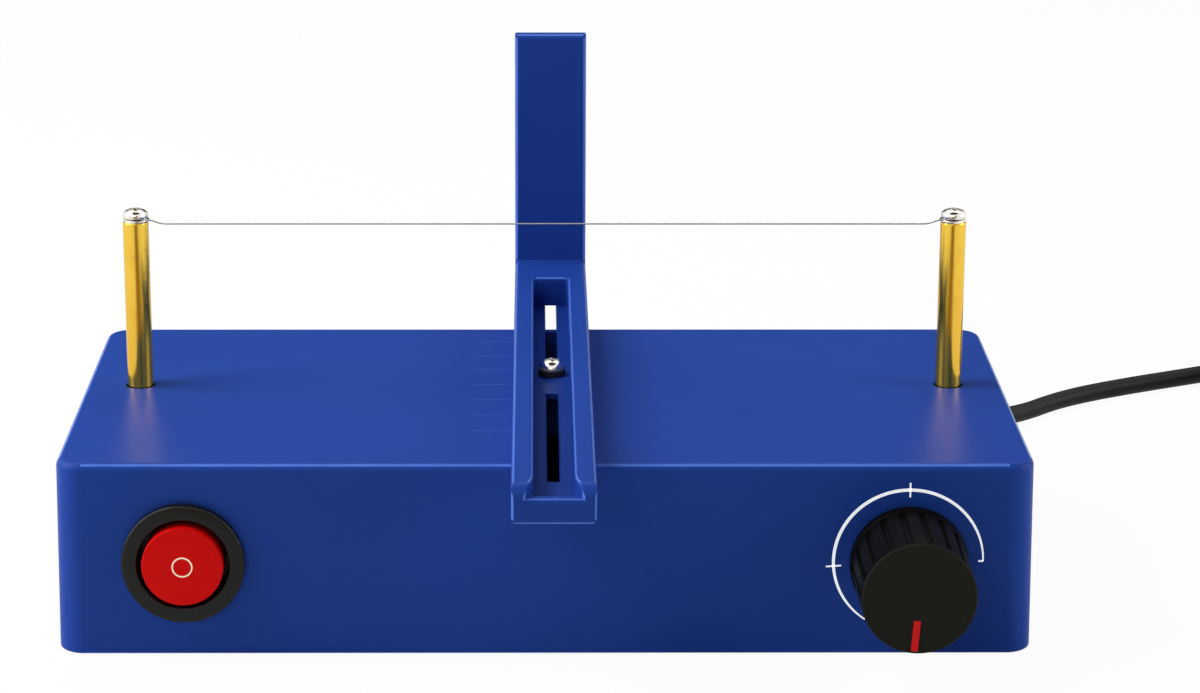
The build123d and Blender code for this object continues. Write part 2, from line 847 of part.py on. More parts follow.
with BuildPart() as switch_terminals:
    with BuildSketch(front_plane(switch_x, -switch_barrel_length)):
        with GridLocations(blade_spacing, 1, 2, 1):
            Rectangle(blade_thickness, blade_width)
    extrude(amount=-blade_length)
write(switch_terminals.part, "switch_terminals")

# Potentiometer behind the panel, its bush through it
with BuildPart() as pot_body:
    with BuildSketch(front_plane(knob_x, -wall)):
        Circle(pot_body_diameter / 2)
    extrude(amount=-pot_body_depth)
    with BuildSketch(front_plane(knob_x, -wall)):
        Circle(bush_diameter / 2)
    extrude(amount=bush_length)
    with BuildSketch(front_plane(knob_x, bush_length - wall)):
        Circle(shaft_diameter / 2 + shaft_fit)
    extrude(amount=-bush_length - pot_body_depth / 2, mode=Mode.SUBTRACT)
write(pot_body.part, "pot_body")

with BuildPart() as pot_washer:
    with BuildSketch(front_plane(knob_x)):
        Circle(pot_washer_diameter / 2)
        Circle(bush_diameter / 2 + bush_nut_clearance, mode=Mode.SUBTRACT)
    extrude(amount=pot_washer_thickness)
write(pot_washer.part, "pot_washer")

with BuildPart() as pot_nut:
    with BuildSketch(front_plane(knob_x, pot_washer_thickness)):
        RegularPolygon(pot_nut_flats / 2, 6, major_radius=False)
        Circle(bush_diameter / 2 + bush_nut_clearance, mode=Mode.SUBTRACT)
    extrude(amount=pot_nut_height)
write(pot_nut.part, "pot_nut")

pot_lug_y = inner_front_y + pot_body_depth / 2
pot_lug_xs = [knob_x + k * pot_lug_pitch for k in (-1, 0, 1)]
pot_lug_bottom = control_height - pot_body_diameter / 2 - pot_lug_length
pot_lug_tops = [
    control_height
    - math.sqrt(
        (pot_body_diameter / 2) ** 2 - max(abs(x - knob_x) - pot_lug_width / 2, 0) ** 2
    )
    for x in pot_lug_xs
]
with BuildPart() as pot_terminals:
    for x, lug_top in zip(pot_lug_xs, pot_lug_tops):
        with BuildSketch(Plane.XY.offset(pot_lug_bottom)):
            with Locations((x, pot_lug_y)):
                Rectangle(pot_lug_width, pot_lug_thickness)
        extrude(amount=lug_top - pot_lug_gap - pot_lug_bottom)
write(pot_terminals.part, "pot_terminals")

shaft_back = -wall - pot_body_depth / 2 + shaft_fit
shaft_front = bush_length - wall + shaft_length
with BuildPart() as pot_shaft:
    with BuildSketch(front_plane(knob_x, shaft_back)):
        Circle(shaft_diameter / 2)
    extrude(amount=shaft_front - shaft_back)
write(pot_shaft.part, "pot_shaft")

# Heat knob: tapered, fluted, hollow behind, with an inlaid pointer on the cap
knob_front = knob_panel_gap + knob_height
knob_grip_height = knob_height - knob_skirt
knob_tip_radius = knob_grip_diameter / 2 - knob_grip_height * math.tan(math.radians(knob_taper))
pointer_mid = knob_tip_radius - knob_edge - pointer_edge_gap - pointer_length / 2
pointer_place = (
    -pointer_mid * math.sin(math.radians(pointer_rest_angle)),
    -pointer_mid * math.cos(math.radians(pointer_rest_angle)),
)
with BuildPart() as heat_knob:
    with BuildSketch(front_plane(knob_x, knob_panel_gap)):
        Circle(knob_skirt_diameter / 2)
    extrude(amount=knob_skirt)
    fillet(heat_knob.faces().sort_by(Axis.Y)[0].edges(), radius=knob_skirt_edge)
    with BuildSketch(front_plane(knob_x, knob_panel_gap + knob_skirt)):
        Circle(knob_grip_diameter / 2)
    extrude(amount=knob_grip_height, taper=knob_taper)
    fillet(heat_knob.faces().sort_by(Axis.Y)[0].edges(), radius=knob_edge)
    with BuildSketch(front_plane(knob_x, knob_panel_gap + knob_skirt)):
        with PolarLocations(knob_grip_diameter / 2, knob_flutes):
            Rectangle(2 * knob_flute_depth, knob_flute_width)
    extrude(amount=knob_grip_height - knob_cap, mode=Mode.SUBTRACT)
    with BuildSketch(front_plane(knob_x, knob_panel_gap)):
        Circle(knob_hollow_diameter / 2)
    extrude(amount=knob_hollow_depth, mode=Mode.SUBTRACT)
    with BuildSketch(front_plane(knob_x, knob_panel_gap)):
        Circle(shaft_diameter / 2 + knob_bore_fit)
    extrude(amount=shaft_front - knob_panel_gap, mode=Mode.SUBTRACT)
    with BuildSketch(front_plane(knob_x, knob_front)):
        with Locations(pointer_place):
            Rectangle(pointer_width, pointer_length, rotation=-pointer_rest_angle)
    extrude(amount=-pointer_depth, mode=Mode.SUBTRACT)
write(heat_knob.part, "heat_knob")

with BuildPart() as knob_pointer:
    with BuildSketch(front_plane(knob_x, knob_front - pointer_depth)):
        with Locations(pointer_place):
            Rectangle(pointer_width, pointer_length, rotation=-pointer_rest_angle)
    extrude(amount=pointer_depth)
write(knob_pointer.part, "knob_pointer")

# Control board on its standoffs
with BuildPart() as control_board:
    with BuildSketch(Plane.XY.offset(board_bottom)):
        with Locations((0, board_y)):
            RectangleRounded(board_length, board_width, board_corner)
        with Locations(*standoff_places):
            Circle(board_hole / 2, mode=Mode.SUBTRACT)
    extrude(amount=board_thickness)
write(control_board.part, "control_board")

with BuildPart() as board_screws:
    with BuildSketch(Plane.XY.offset(board_top)):
        with Locations(*standoff_places):
            Circle(board_screw_head / 2)
    extrude(amount=board_screw_head_height)
    with BuildSketch(Plane.XY.offset(board_top)):
        with Locations(*standoff_places):
            Circle(board_screw_diameter / 2)
    extrude(amount=-board_thickness - board_screw_grip)
write(board_screws.part, "board_screws")

# Terminal blocks: one for the wire and switch leads, one for the supply
block_front_y = board_y - board_width / 2 + block_inset
port_z = board_top + block_port_height
block_port_xs = [
    block_x + (k - (block_ports - 1) / 2) * block_pitch for k in range(block_ports)
]
with BuildPart() as lead_terminal_block:
    with BuildSketch(Plane.XY.offset(board_top)):
        with Locations((block_x, block_front_y + block_depth / 2)):
            Rectangle(block_ports * block_pitch, block_depth)
    extrude(amount=block_height)
    with BuildSketch(Plane(origin=(0, block_front_y, port_z), x_dir=(1, 0, 0), z_dir=(0, -1, 0))):
        with Locations(*[(x, 0) for x in block_port_xs]):
            Circle(lead_diameter / 2 + block_port_clearance)
    extrude(amount=-block_port_depth, mode=Mode.SUBTRACT)
write(lead_terminal_block.part, "lead_terminal_block")

supply_right_x = board_length / 2 - block_inset
supply_port_ys = [
    supply_y + (k - (supply_ports - 1) / 2) * block_pitch for k in range(supply_ports)
]
with BuildPart() as supply_terminal_block:
    with BuildSketch(Plane.XY.offset(board_top)):
        with Locations((supply_right_x - block_depth / 2, supply_y)):
            Rectangle(block_depth, supply_ports * block_pitch)
    extrude(amount=block_height)
    with BuildSketch(Plane(origin=(supply_right_x, 0, port_z), x_dir=(0, 1, 0), z_dir=(1, 0, 0))):
        with Locations(*[(y, 0) for y in supply_port_ys]):
            Circle(lead_diameter / 2 + block_port_clearance)
    extrude(amount=-block_port_depth, mode=Mode.SUBTRACT)
write(supply_terminal_block.part, "supply_terminal_block")

with BuildPart() as control_header:
    with BuildSketch(Plane.XY.offset(board_top)):
        with Locations((header_x, block_front_y + header_width / 2)):
            Rectangle(header_length, header_width)
    extrude(amount=header_height)
write(control_header.part, "control_header")

with BuildPart() as capacitor:
    with BuildSketch(Plane.XY.offset(board_top)):
        with Locations((capacitor_x, capacitor_y)):
            Circle(capacitor_diameter / 2)
    extrude(amount=capacitor_height)
    fillet(capacitor.faces().sort_by(Axis.Z)[-1].edges(), radius=capacitor_crown)
write(capacitor.part, "capacitor")

# Heat sink: a web with fins to the rear, and the transistor on its front face
fin_pitch = (sink_length - sink_fin_thickness) / (sink_fins - 1)
sink_front_y = sink_y - sink_depth / 2
with BuildPart() as heat_sink:
    with BuildSketch(Plane.XY.offset(board_top)):
        with Locations((sink_x, sink_front_y + sink_web / 2)):
            Rectangle(sink_length, sink_web)
        with Locations((sink_x, sink_y)):
            with GridLocations(fin_pitch, 1, sink_fins, 1):
                Rectangle(sink_fin_thickness, sink_depth)
    extrude(amount=sink_height)
write(heat_sink.part, "heat_sink")

transistor_foot = board_top + transistor_lift
with BuildPart() as power_transistor:
    with BuildSketch(Plane.XY.offset(transistor_foot)):
        with Locations((sink_x, sink_front_y - transistor_depth / 2)):
            Rectangle(transistor_width, transistor_depth)
    extrude(amount=transistor_body_height)
    with BuildSketch(Plane.XY.offset(transistor_foot)):
        with Locations((sink_x, sink_front_y - transistor_tab / 2)):
            Rectangle(transistor_width, transistor_tab)
    extrude(amount=transistor_height)
    with BuildSketch(Plane.XY.offset(board_top)):
        with Locations((sink_x, sink_front_y - transistor_depth / 2)):
            with GridLocations(transistor_width / 4, 1, 3, 1):
                Rectangle(transistor_tab / 2, transistor_tab / 2)
    extrude(amount=transistor_lift)
write(power_transistor.part, "power_transistor")

# Insulated leads: posts and switch to the front block, control to its header, supply in
port_stop_y = block_front_y + block_port_depth - block_port_clearance
supply_stop_x = supply_right_x - block_port_depth + block_port_clearance
lug_end_x = post_x - lug_barrel_reach - lug_barrel_length
blade_end_y = front_y + switch_barrel_length + blade_length
inner_blade_x = switch_x + blade_spacing / 2
outer_blade_x = switch_x - blade_spacing / 2
left_port, outer_port, inner_port, right_port = block_port_xs


def tube(points, diameter, sides=lead_sides):
    """Tube of a few sides along straight runs joined by tangent arcs."""
    with BuildPart() as made:
        with BuildLine() as route:
            FilletPolyline(*points, radius=bend_radii(points))
        with BuildSketch(Plane(origin=route.line @ 0, z_dir=route.line % 0)):
            RegularPolygon(diameter / 2, sides)
        sweep(path=route.line)
    return made.part


left_lead_points = [
    (-lug_end_x, post_y, lug_barrel_z),
    (-58, post_y, lug_barrel_z),
    (-46, -1, 18),
    (-34, -8.5, 13.5),
    (-26, -10.5, 13),
    (left_port, -6.5, port_z),
    (left_port, port_stop_y, port_z),
]
right_lead_points = [
    (lug_end_x, post_y, lug_barrel_z),
    (58, post_y, lug_barrel_z),
    (46, -3, 21),
    (32, -8, 19),
    (18, -11, 18),
    (4, -13, 15.5),
    (-5, -12.5, 13),
    (right_port, -7, port_z),
    (right_port, port_stop_y, port_z),
]
with BuildPart() as post_leads:
    add(tube(left_lead_points, lead_diameter))
    add(tube(right_lead_points, lead_diameter))
write(post_leads.part, "post_leads")

inner_blade_points = [
    (inner_blade_x, blade_end_y, control_height),
    (inner_blade_x, -12.3, control_height),
    (-55, -12.5, 16.5),
    (-42, -15.5, 13.5),
    (-28, -19.5, 13),
    (-17, -19, 13),
    (inner_port, -13, port_z),
    (inner_port, port_stop_y, port_z),
]
outer_blade_points = [
    (outer_blade_x, blade_end_y, control_height),
    (outer_blade_x, -9, control_height),
    (-60, -5.5, 16),
    (-46, -9, 13.5),
    (-32, -13, 13),
    (-22, -13.5, 13),
    (outer_port, -8.5, port_z),
    (outer_port, port_stop_y, port_z),
]
with BuildPart() as switch_leads:
    add(tube(inner_blade_points, lead_diameter))
    add(tube(outer_blade_points, lead_diameter))
write(switch_leads.part, "switch_leads")

header_lead_z = board_top + header_height / 2
pot_lead_y = pot_lug_y + pot_lug_thickness / 2
pot_lead_z = pot_lug_bottom + signal_lead_diameter / 2
pot_lead_pitch = header_length / 3
with BuildPart() as pot_leads:
    for k, lug_x in enumerate(pot_lug_xs):
        pin_x = header_x + (k - 1) * pot_lead_pitch
        aside = k * pot_lead_spread
        pot_lead_points = [
            (lug_x, pot_lead_y, pot_lead_z),
            (lug_x, pot_lead_turn_y + aside, pot_lead_z),
            *[(x + aside, y + aside, z) for x, y, z in pot_lead_bends],
            (pin_x, pot_lead_entry_y + aside, header_lead_z),
            (pin_x, block_front_y, header_lead_z),
        ]
        add(tube(pot_lead_points, signal_lead_diameter))
write(pot_leads.part, "pot_leads")

core_offset = lead_diameter / 2 + block_port_clearance
relief_inner_y = inner_rear_y - relief_flange_thickness
near_port_y, far_port_y = supply_port_ys
rear_core_points = [
    (cord_exit_x - core_offset, relief_inner_y, cord_exit_height),
    (cord_exit_x - core_offset, 34.5, cord_exit_height),
    (71, 29, 13.5),
    (54, 25.5, 13),
    (42, far_port_y, port_z),
    (supply_stop_x, far_port_y, port_z),
]
front_core_points = [
    (cord_exit_x + core_offset, relief_inner_y, cord_exit_height),
    (cord_exit_x + core_offset, 30.5, cord_exit_height),
    (72, 23.5, 13.5),
    (55, 20, 13),
    (42, near_port_y, port_z),
    (supply_stop_x, near_port_y, port_z),
]
with BuildPart() as supply_leads:
    add(tube(rear_core_points, lead_diameter))
    add(tube(front_core_points, lead_diameter))
write(supply_leads.part, "supply_leads")

# Strain relief: snapped into the rear wall, tapered and grooved outside
relief_axis = Axis((cord_exit_x, rear_y, cord_exit_height), (0, 1, 0))
relief_plane = Plane(origin=(cord_exit_x, rear_y, cord_exit_height))
relief_tip_radius = cord_diameter / 2 + relief_tip_wall
with BuildPart() as strain_relief:
    with BuildSketch(relief_plane):
        with BuildLine():
            Polyline(
                (0, -wall - relief_flange_thickness),
                (relief_flange_diameter / 2, -wall - relief_flange_thickness),
                (relief_flange_diameter / 2, -wall),
                (relief_neck_diameter / 2, -wall),
                (relief_neck_diameter / 2, 0),
                (relief_collar_diameter / 2, 0),
                (relief_collar_diameter / 2, relief_collar_length),
                (relief_root_diameter / 2, relief_collar_length),
                (relief_tip_radius, relief_length),
                (0, relief_length),
                close=True,
            )
        make_face()
    revolve(axis=relief_axis)
    with BuildSketch(relief_plane):
        for k in range(relief_groove_count):
            along = relief_collar_length + (k + 1) * relief_groove_pitch
            share = (along - relief_collar_length) / (relief_length - relief_collar_length)
            skin = relief_root_diameter / 2 + share * (
                relief_tip_radius - relief_root_diameter / 2
            )
            with Locations((skin, along)):
                Rectangle(2 * relief_groove_depth, relief_groove_width)
    revolve(axis=relief_axis, mode=Mode.SUBTRACT)
write(strain_relief.part, "strain_relief")

# Supply lead, free stretch: out of the relief, down to the table and away to the right.
# Each point gives the way right of the exit, the way behind the rear wall, and the height.
tie_lift = tie_thickness + tie_clearance
coil_low = tie_lift + cord_diameter / 2
table_z = cord_diameter / 2
cord_route = [
    (0, relief_length, cord_exit_height),
    (0, 17.5, cord_exit_height),
    (1.9, 25.3, 12.9),
    (6.1, 32.7, 9.6),
    (12.1, 39.3, 5.9),
    (19.3, 45.7, 3.2),
    (27.3, 53.8, table_z),
    (34.6, 61.7, table_z),
    (43.2, 68.2, table_z),
    (55.0, 74.9, table_z),
    (66.0, 80.4, table_z),
    (78.0, 85.8, 2.2),
    (87.0, 89.1, 2.7),
    (94.0, coil_entry_behind, coil_low),
    (coil_entry_aside - cord_diameter, coil_entry_behind, coil_low),
]
cord_points = [(cord_exit_x + aside, rear_y + behind, z) for aside, behind, z in cord_route]
power_cord = tube(cord_points, cord_diameter, cord_sides)
write(power_cord, "power_cord")
print("cord radii", [round(r, 1) for r in bend_radii(cord_points)])

# Put-away coil: in along the table, up a layer at the middle, out again, down to the plug
coil_pitch = cord_diameter + coil_turn_gap
coil_high = coil_low + coil_pitch
coil_entry_x = cord_exit_x + coil_entry_aside
coil_entry_y = rear_y + coil_entry_behind
plug_x = coil_entry_x + coil_outer_radius
plug_z = plug_diameter / 2
tail_y = coil_entry_y - coil_outer_radius
plug_rear_y = tail_y - tail_drop_run - 2 * cord_diameter


def half_turn(y, radius, east, z):
    """Half turn of the coil from its axis line back to it. Returns where it ends."""
    end_y = y - 2 * radius if east else y + 2 * radius
    bulge_x = coil_entry_x + (radius if east else -radius)
    ThreePointArc(
        (coil_entry_x, y, z), (bulge_x, (y + end_y) / 2, z), (coil_entry_x, end_y, z)
    )
    return end_y


def biarc(start, start_way, end, end_way):
    """Two equal-tangent arcs from one point and direction to another."""
    step = end - start
    ways = start_way + end_way
    slope = step.dot(ways)
    bend = 4 - ways.dot(ways)
    if bend < 1e-6:
        reach = step.dot(step) / (2 * slope)
    else:
        reach = (math.sqrt(slope**2 + bend * step.dot(step)) - slope) / bend
    joint = (start + start_way * reach + end - end_way * reach) / 2
    TangentArc(start, joint, tangent=start_way)
    TangentArc(joint, end, tangent=joint - start - start_way * reach)


with BuildLine() as coil_line:
    Line(
        (coil_entry_x - cord_diameter, coil_entry_y, coil_low),
        (coil_entry_x, coil_entry_y, coil_low),
    )
    turn_y = coil_entry_y
    for k in range(coil_half_turns):
        turn_y = half_turn(turn_y, coil_outer_radius - k * coil_pitch / 2, k % 2 == 0, coil_low)
    inner_radius = coil_outer_radius - coil_half_turns * coil_pitch / 2
    climb_end_y = turn_y - 2 * inner_radius
    biarc(
        Vector(coil_entry_x, turn_y, coil_low),
        Vector(1, 0, 0),
        Vector(coil_entry_x, climb_end_y, coil_high),
        Vector(-1, 0, 0),
    )
    turn_y = climb_end_y
    for k in range(coil_half_turns - 1):
        turn_y = half_turn(turn_y, inner_radius + (k + 1) * coil_pitch / 2, k % 2 == 1, coil_high)
    CenterArc((coil_entry_x, tail_y, coil_high), coil_outer_radius, 90, -90)
    Line((plug_x, tail_y, coil_high), (plug_x, tail_y - cord_diameter, coil_high))
    biarc(
        Vector(plug_x, tail_y - cord_diameter, coil_high),
        Vector(0, -1, 0),
        Vector(plug_x, plug_rear_y + cord_diameter, plug_z),
        Vector(0, -1, 0),
    )
    Line((plug_x, plug_rear_y + cord_diameter, plug_z), (plug_x, plug_rear_y, plug_z))

coil_wire = coil_line.wires()[0]
with BuildPart() as cord_coil:
    with BuildSketch(Plane(origin=coil_wire @ 0, z_dir=coil_wire % 0)) as cord_section:
        RegularPolygon(cord_diameter / 2, cord_sides)
    sweep(path=coil_wire)
write(cord_coil.part, "cord_coil")

sample_step = 1.0
sample_count = int(coil_wire.length / sample_step)
samples = [coil_wire @ (k / sample_count) for k in range(sample_count + 1)]
apart = int(math.pi * cord_diameter / sample_step)
least_gap = min(
    (samples[j] - samples[i]).length
    for i in range(len(samples))
    for j in range(i + apart, len(samples))
)
section_area = cord_section.sketch.area
print("coil least gap to itself", round(least_gap - cord_diameter, 2))
print("coil volume share", round(cord_coil.part.volume / (section_area * coil_wire.length), 4))
print("coil length", round(coil_wire.length, 1))
print("free stretch length", round(power_cord.volume / section_area, 1))

# Tie round the coil's turns on the side where each layer has three
tie_inner_x = coil_entry_x - coil_outer_radius + coil_pitch / 2 * (coil_half_turns - 1)
tie_outer_x = coil_entry_x - coil_outer_radius + coil_pitch / 2
tie_mid_x = (tie_inner_x + tie_outer_x) / 2
tie_mid_z = (coil_low + coil_high) / 2
tie_width_inside = tie_inner_x - tie_outer_x + cord_diameter + 2 * tie_side_clearance
tie_height_inside = coil_pitch + cord_diameter + 2 * tie_clearance
tie_plane = Plane(
    origin=(tie_mid_x, tail_y - tie_width / 2, tie_mid_z), x_dir=(1, 0, 0), z_dir=(0, -1, 0)
)
with BuildPart() as cord_tie:
    with BuildSketch(tie_plane):
        RectangleRounded(
            tie_width_inside + 2 * tie_thickness,
            tie_height_inside + 2 * tie_thickness,
            tie_corner + tie_thickness,
        )
        RectangleRounded(tie_width_inside, tie_height_inside, tie_corner, mode=Mode.SUBTRACT)
    extrude(amount=-tie_width)
write(cord_tie.part, "cord_tie")

# Barrel plug lying on the table beside the coil
plug_axis = Axis((plug_x, plug_rear_y, plug_z), (0, -1, 0))
plug_plane = Plane(origin=(plug_x, plug_rear_y, plug_z), x_dir=(1, 0, 0), z_dir=(0, 0, -1))
grip_end = plug_taper_length + plug_grip_length
collar_end = grip_end + plug_collar_length
groove_start = plug_taper_length + (
    plug_grip_length - (plug_groove_count - 1) * plug_groove_pitch
) / 2
with BuildPart() as plug_body:
    with BuildSketch(plug_plane):
        with BuildLine():
            Polyline(
                (0, 0),
                (cord_diameter / 2 + plug_tip_wall, 0),
                (plug_diameter / 2, plug_taper_length),
                (plug_diameter / 2, grip_end),
                (plug_collar_diameter / 2, grip_end),
                (plug_collar_diameter / 2, collar_end),
                (0, collar_end),
                close=True,
            )
        make_face()
        for k in range(plug_groove_count):
            with Locations((plug_diameter / 2, groove_start + k * plug_groove_pitch)):
                Rectangle(2 * plug_groove_depth, plug_groove_width, mode=Mode.SUBTRACT)
    revolve(axis=plug_axis)
write(plug_body.part, "plug_body")

barrel_root = Plane(
    origin=(plug_x, plug_rear_y - collar_end, plug_z), x_dir=(1, 0, 0), z_dir=(0, -1, 0)
)
with BuildPart() as plug_barrel:
    with BuildSketch(barrel_root):
        Circle(barrel_diameter / 2)
    extrude(amount=barrel_length)
    chamfer(plug_barrel.faces().sort_by(Axis.Y)[0].edges(), length=barrel_edge)
    with BuildSketch(barrel_root.offset(barrel_length)):
        Circle(barrel_bore / 2)
    extrude(amount=-barrel_bore_depth, mode=Mode.SUBTRACT)
write(plug_barrel.part, "plug_barrel")
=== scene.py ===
"""Looks of a bench hot-wire cutter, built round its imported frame.

Each sub-assembly is a class that takes its places from the frame, builds the meshes that
the frame's plain solids stand for, and dresses every node with a finish of its own.
Everything is in metres: +X to the right, +Y to the rear, +Z up, the table at zero.
"""

from __future__ import annotations

import logging
import math
from collections.abc import Callable, Mapping, Sequence
from dataclasses import dataclass
from enum import Enum
from typing import Any

import bmesh
import bpy
from mathutils import Matrix, Vector

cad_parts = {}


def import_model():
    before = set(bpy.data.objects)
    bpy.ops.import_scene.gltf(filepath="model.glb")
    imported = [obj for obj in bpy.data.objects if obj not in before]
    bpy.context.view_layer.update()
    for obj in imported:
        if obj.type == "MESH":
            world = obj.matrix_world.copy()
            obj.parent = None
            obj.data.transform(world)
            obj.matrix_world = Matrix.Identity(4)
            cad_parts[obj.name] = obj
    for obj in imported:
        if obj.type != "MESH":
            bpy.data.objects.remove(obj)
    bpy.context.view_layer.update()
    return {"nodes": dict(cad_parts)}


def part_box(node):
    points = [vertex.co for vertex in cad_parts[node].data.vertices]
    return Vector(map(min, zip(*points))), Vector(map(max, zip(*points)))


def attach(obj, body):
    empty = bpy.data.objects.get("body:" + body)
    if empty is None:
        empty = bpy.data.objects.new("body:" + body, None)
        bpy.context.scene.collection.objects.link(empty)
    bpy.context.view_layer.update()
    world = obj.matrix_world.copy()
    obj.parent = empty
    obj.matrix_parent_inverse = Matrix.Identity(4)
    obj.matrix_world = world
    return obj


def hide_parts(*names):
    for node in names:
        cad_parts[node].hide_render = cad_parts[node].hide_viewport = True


LOG = logging.getLogger("cutter")
MM = 0.001
QUARTER = math.pi / 2
TURN = 2 * math.pi
# Point attribute of painted shade, set in screw recesses and, where asked, low on a screw head.
PAINTED_SHADE = "recess"
# Face attribute that marks narrow outer rounds for a painted highlight colour, and the least length
# of such a round.
EDGE_HIGHLIGHT = "painted_edge_highlight"
HIGHLIGHT_RUN = 3 * MM
STEP_RUN = 0.1 * MM
NEAR_AXIS = 1e-6
MERGE = 1e-7
WELD = 1e-6
TURN_SEED = 7

Color = tuple[float, float, float]
Point = tuple[float, float, float]
Corner = tuple[float, float, float]
Range = tuple[float, float]
Outline = list[tuple[float, float]]
Socket = bpy.types.NodeSocket
Mesh = bpy.types.Mesh
Shape = bmesh.types.BMesh
Rework = Callable[[Shape], None]


class Body(Enum):
    """The bodies that pieces ride on."""

    BASE = "base"
    KNOB = "knob"
    BUTTON = "button"
    GUIDE = "guide"


class Facing(Enum):
    """Ways that a turned piece can face, as the turn from its own upright axis."""

    UP = Matrix.Identity(4)
    DOWN = Matrix.Rotation(math.pi, 4, "X")
    FRONT = Matrix.Rotation(QUARTER, 4, "X")
    REAR = Matrix.Rotation(-QUARTER, 4, "X")

    def at(self, x: float, y: float, z: float) -> Matrix:
        """Matrix that turns a piece this way and stands it at a point."""
        return Matrix.Translation((x, y, z)) @ self.value


def linked(name: str, data: bpy.types.ID) -> bpy.types.Object:
    """Link a new object into the scene.

    Args:
        name: The new object's name.
        data: Its mesh, curve, lamp or camera.

    Returns:
        The object.
    """
    obj = bpy.data.objects.new(name, data)
    bpy.context.scene.collection.objects.link(obj)
    return obj


# Node trees


def node_operator(operation: str, swapped: bool = False) -> Callable[[Val, Any], Val]:
    """Make a method that adds a Math node on a value and another number.

    Args:
        operation: What the node does.
        swapped: Whether the other number comes first.

    Returns:
        The method.
    """

    def method(self: Val, other: Any) -> Val:
        """The new node's number."""
        terms = (other, self) if swapped else (self, other)
        return self.graph.math(operation, *terms)

    return method


class Val:
    """A number in a node tree. Arithmetic on it adds Math nodes."""

    def __init__(self, graph: NodeGraph, socket: Socket) -> None:
        """Wrap an output socket of a graph."""
        self.graph = graph
        self.socket = socket

    __add__ = node_operator("ADD")
    __radd__ = node_operator("ADD", swapped=True)
    __sub__ = node_operator("SUBTRACT")
    __rsub__ = node_operator("SUBTRACT", swapped=True)
    __mul__ = node_operator("MULTIPLY")
    __rmul__ = node_operator("MULTIPLY", swapped=True)
    __truediv__ = node_operator("DIVIDE")
    most = node_operator("MAXIMUM")
    least = node_operator("MINIMUM")

    def __abs__(self) -> Val:
        """Size without its sign."""
        return self.graph.math("ABSOLUTE", self)

    def step(self, low: Any, high: Any) -> Val:
        """Smooth step, held at 0 and 1 outside.

        Args:
            low: Where it starts from 0.
            high: Where it reaches 1.

        Returns:
            The step.
        """
        return self.graph.val(
            "ShaderNodeMapRange",
            {"interpolation_type": "SMOOTHSTEP"},
            {"Value": self, "From Min": low, "From Max": high},
        )


class NodeGraph:
    """Adds nodes to one tree, of a material, a world or a geometry."""

    def __init__(self, tree: bpy.types.NodeTree) -> None:
        """Take the tree that the nodes go into."""
        self.tree = tree

    def add(
        self,
        kind: str,
        settings: Mapping[str, Any] | None = None,
        sockets: Mapping[str | int, Any] | None = None,
    ) -> bpy.types.Node:
        """Add a node.

        Args:
            kind: The node's type.
            settings: Its own settings, set first.
            sockets: A value or a link for each input, by name or number.

        Returns:
            The node.
        """
        node = self.tree.nodes.new(kind)
        for name, value in (settings or {}).items():
            setattr(node, name, value)
        for key, value in (sockets or {}).items():
            source = value.socket if isinstance(value, Val) else value
            if isinstance(source, Socket):
                self.tree.links.new(source, node.inputs[key])
            else:
                node.inputs[key].default_value = source
        return node

    def val(
        self,
        kind: str,
        settings: Mapping[str, Any] | None = None,
        sockets: Mapping[str | int, Any] | None = None,
        output: str | int = 0,
    ) -> Val:
        """Add a node and take one of its outputs as a number."""
        return Val(self, self.add(kind, settings, sockets).outputs[output])

    def math(self, operation: str, *terms: Any) -> Val:
        """Add a Math node on one or two numbers."""
        return self.val("ShaderNodeMath", {"operation": operation}, dict(enumerate(terms)))

    def blend(self, share: Any, first: Any, second: Any) -> Socket:
        """Mix two colours.

        Args:
            share: How far to go from the first to the second.
            first: The colour at 0.
            second: The colour at 1.

        Returns:
            The mixed colour.
        """
        first, second = (
            (*tone, 1.0) if isinstance(tone, tuple) else tone for tone in (first, second)
        )
        mix = self.add("ShaderNodeMix", {"data_type": "RGBA"}, {0: share, 6: first, 7: second})
        return mix.outputs[2]

    def vector(self, x: Any, y: Any, z: Any) -> Socket:
        """Vector of three numbers."""
        return self.add("ShaderNodeCombineXYZ", None, {0: x, 1: y, 2: z}).outputs[0]

    def parts(self, vector: Socket) -> tuple[Val, Val, Val]:
        """A vector's x, y and z."""
        split = self.add("ShaderNodeSeparateXYZ", None, {0: vector})
        return tuple(Val(self, split.outputs[k]) for k in range(3))

    def rays(self) -> list[Val]:
        """Whether what looks here is the camera, a reflection or a ray through glass."""
        path = self.add("ShaderNodeLightPath").outputs
        return [Val(self, path[f"Is {kind} Ray"]) for kind in ("Camera", "Glossy", "Transmission")]


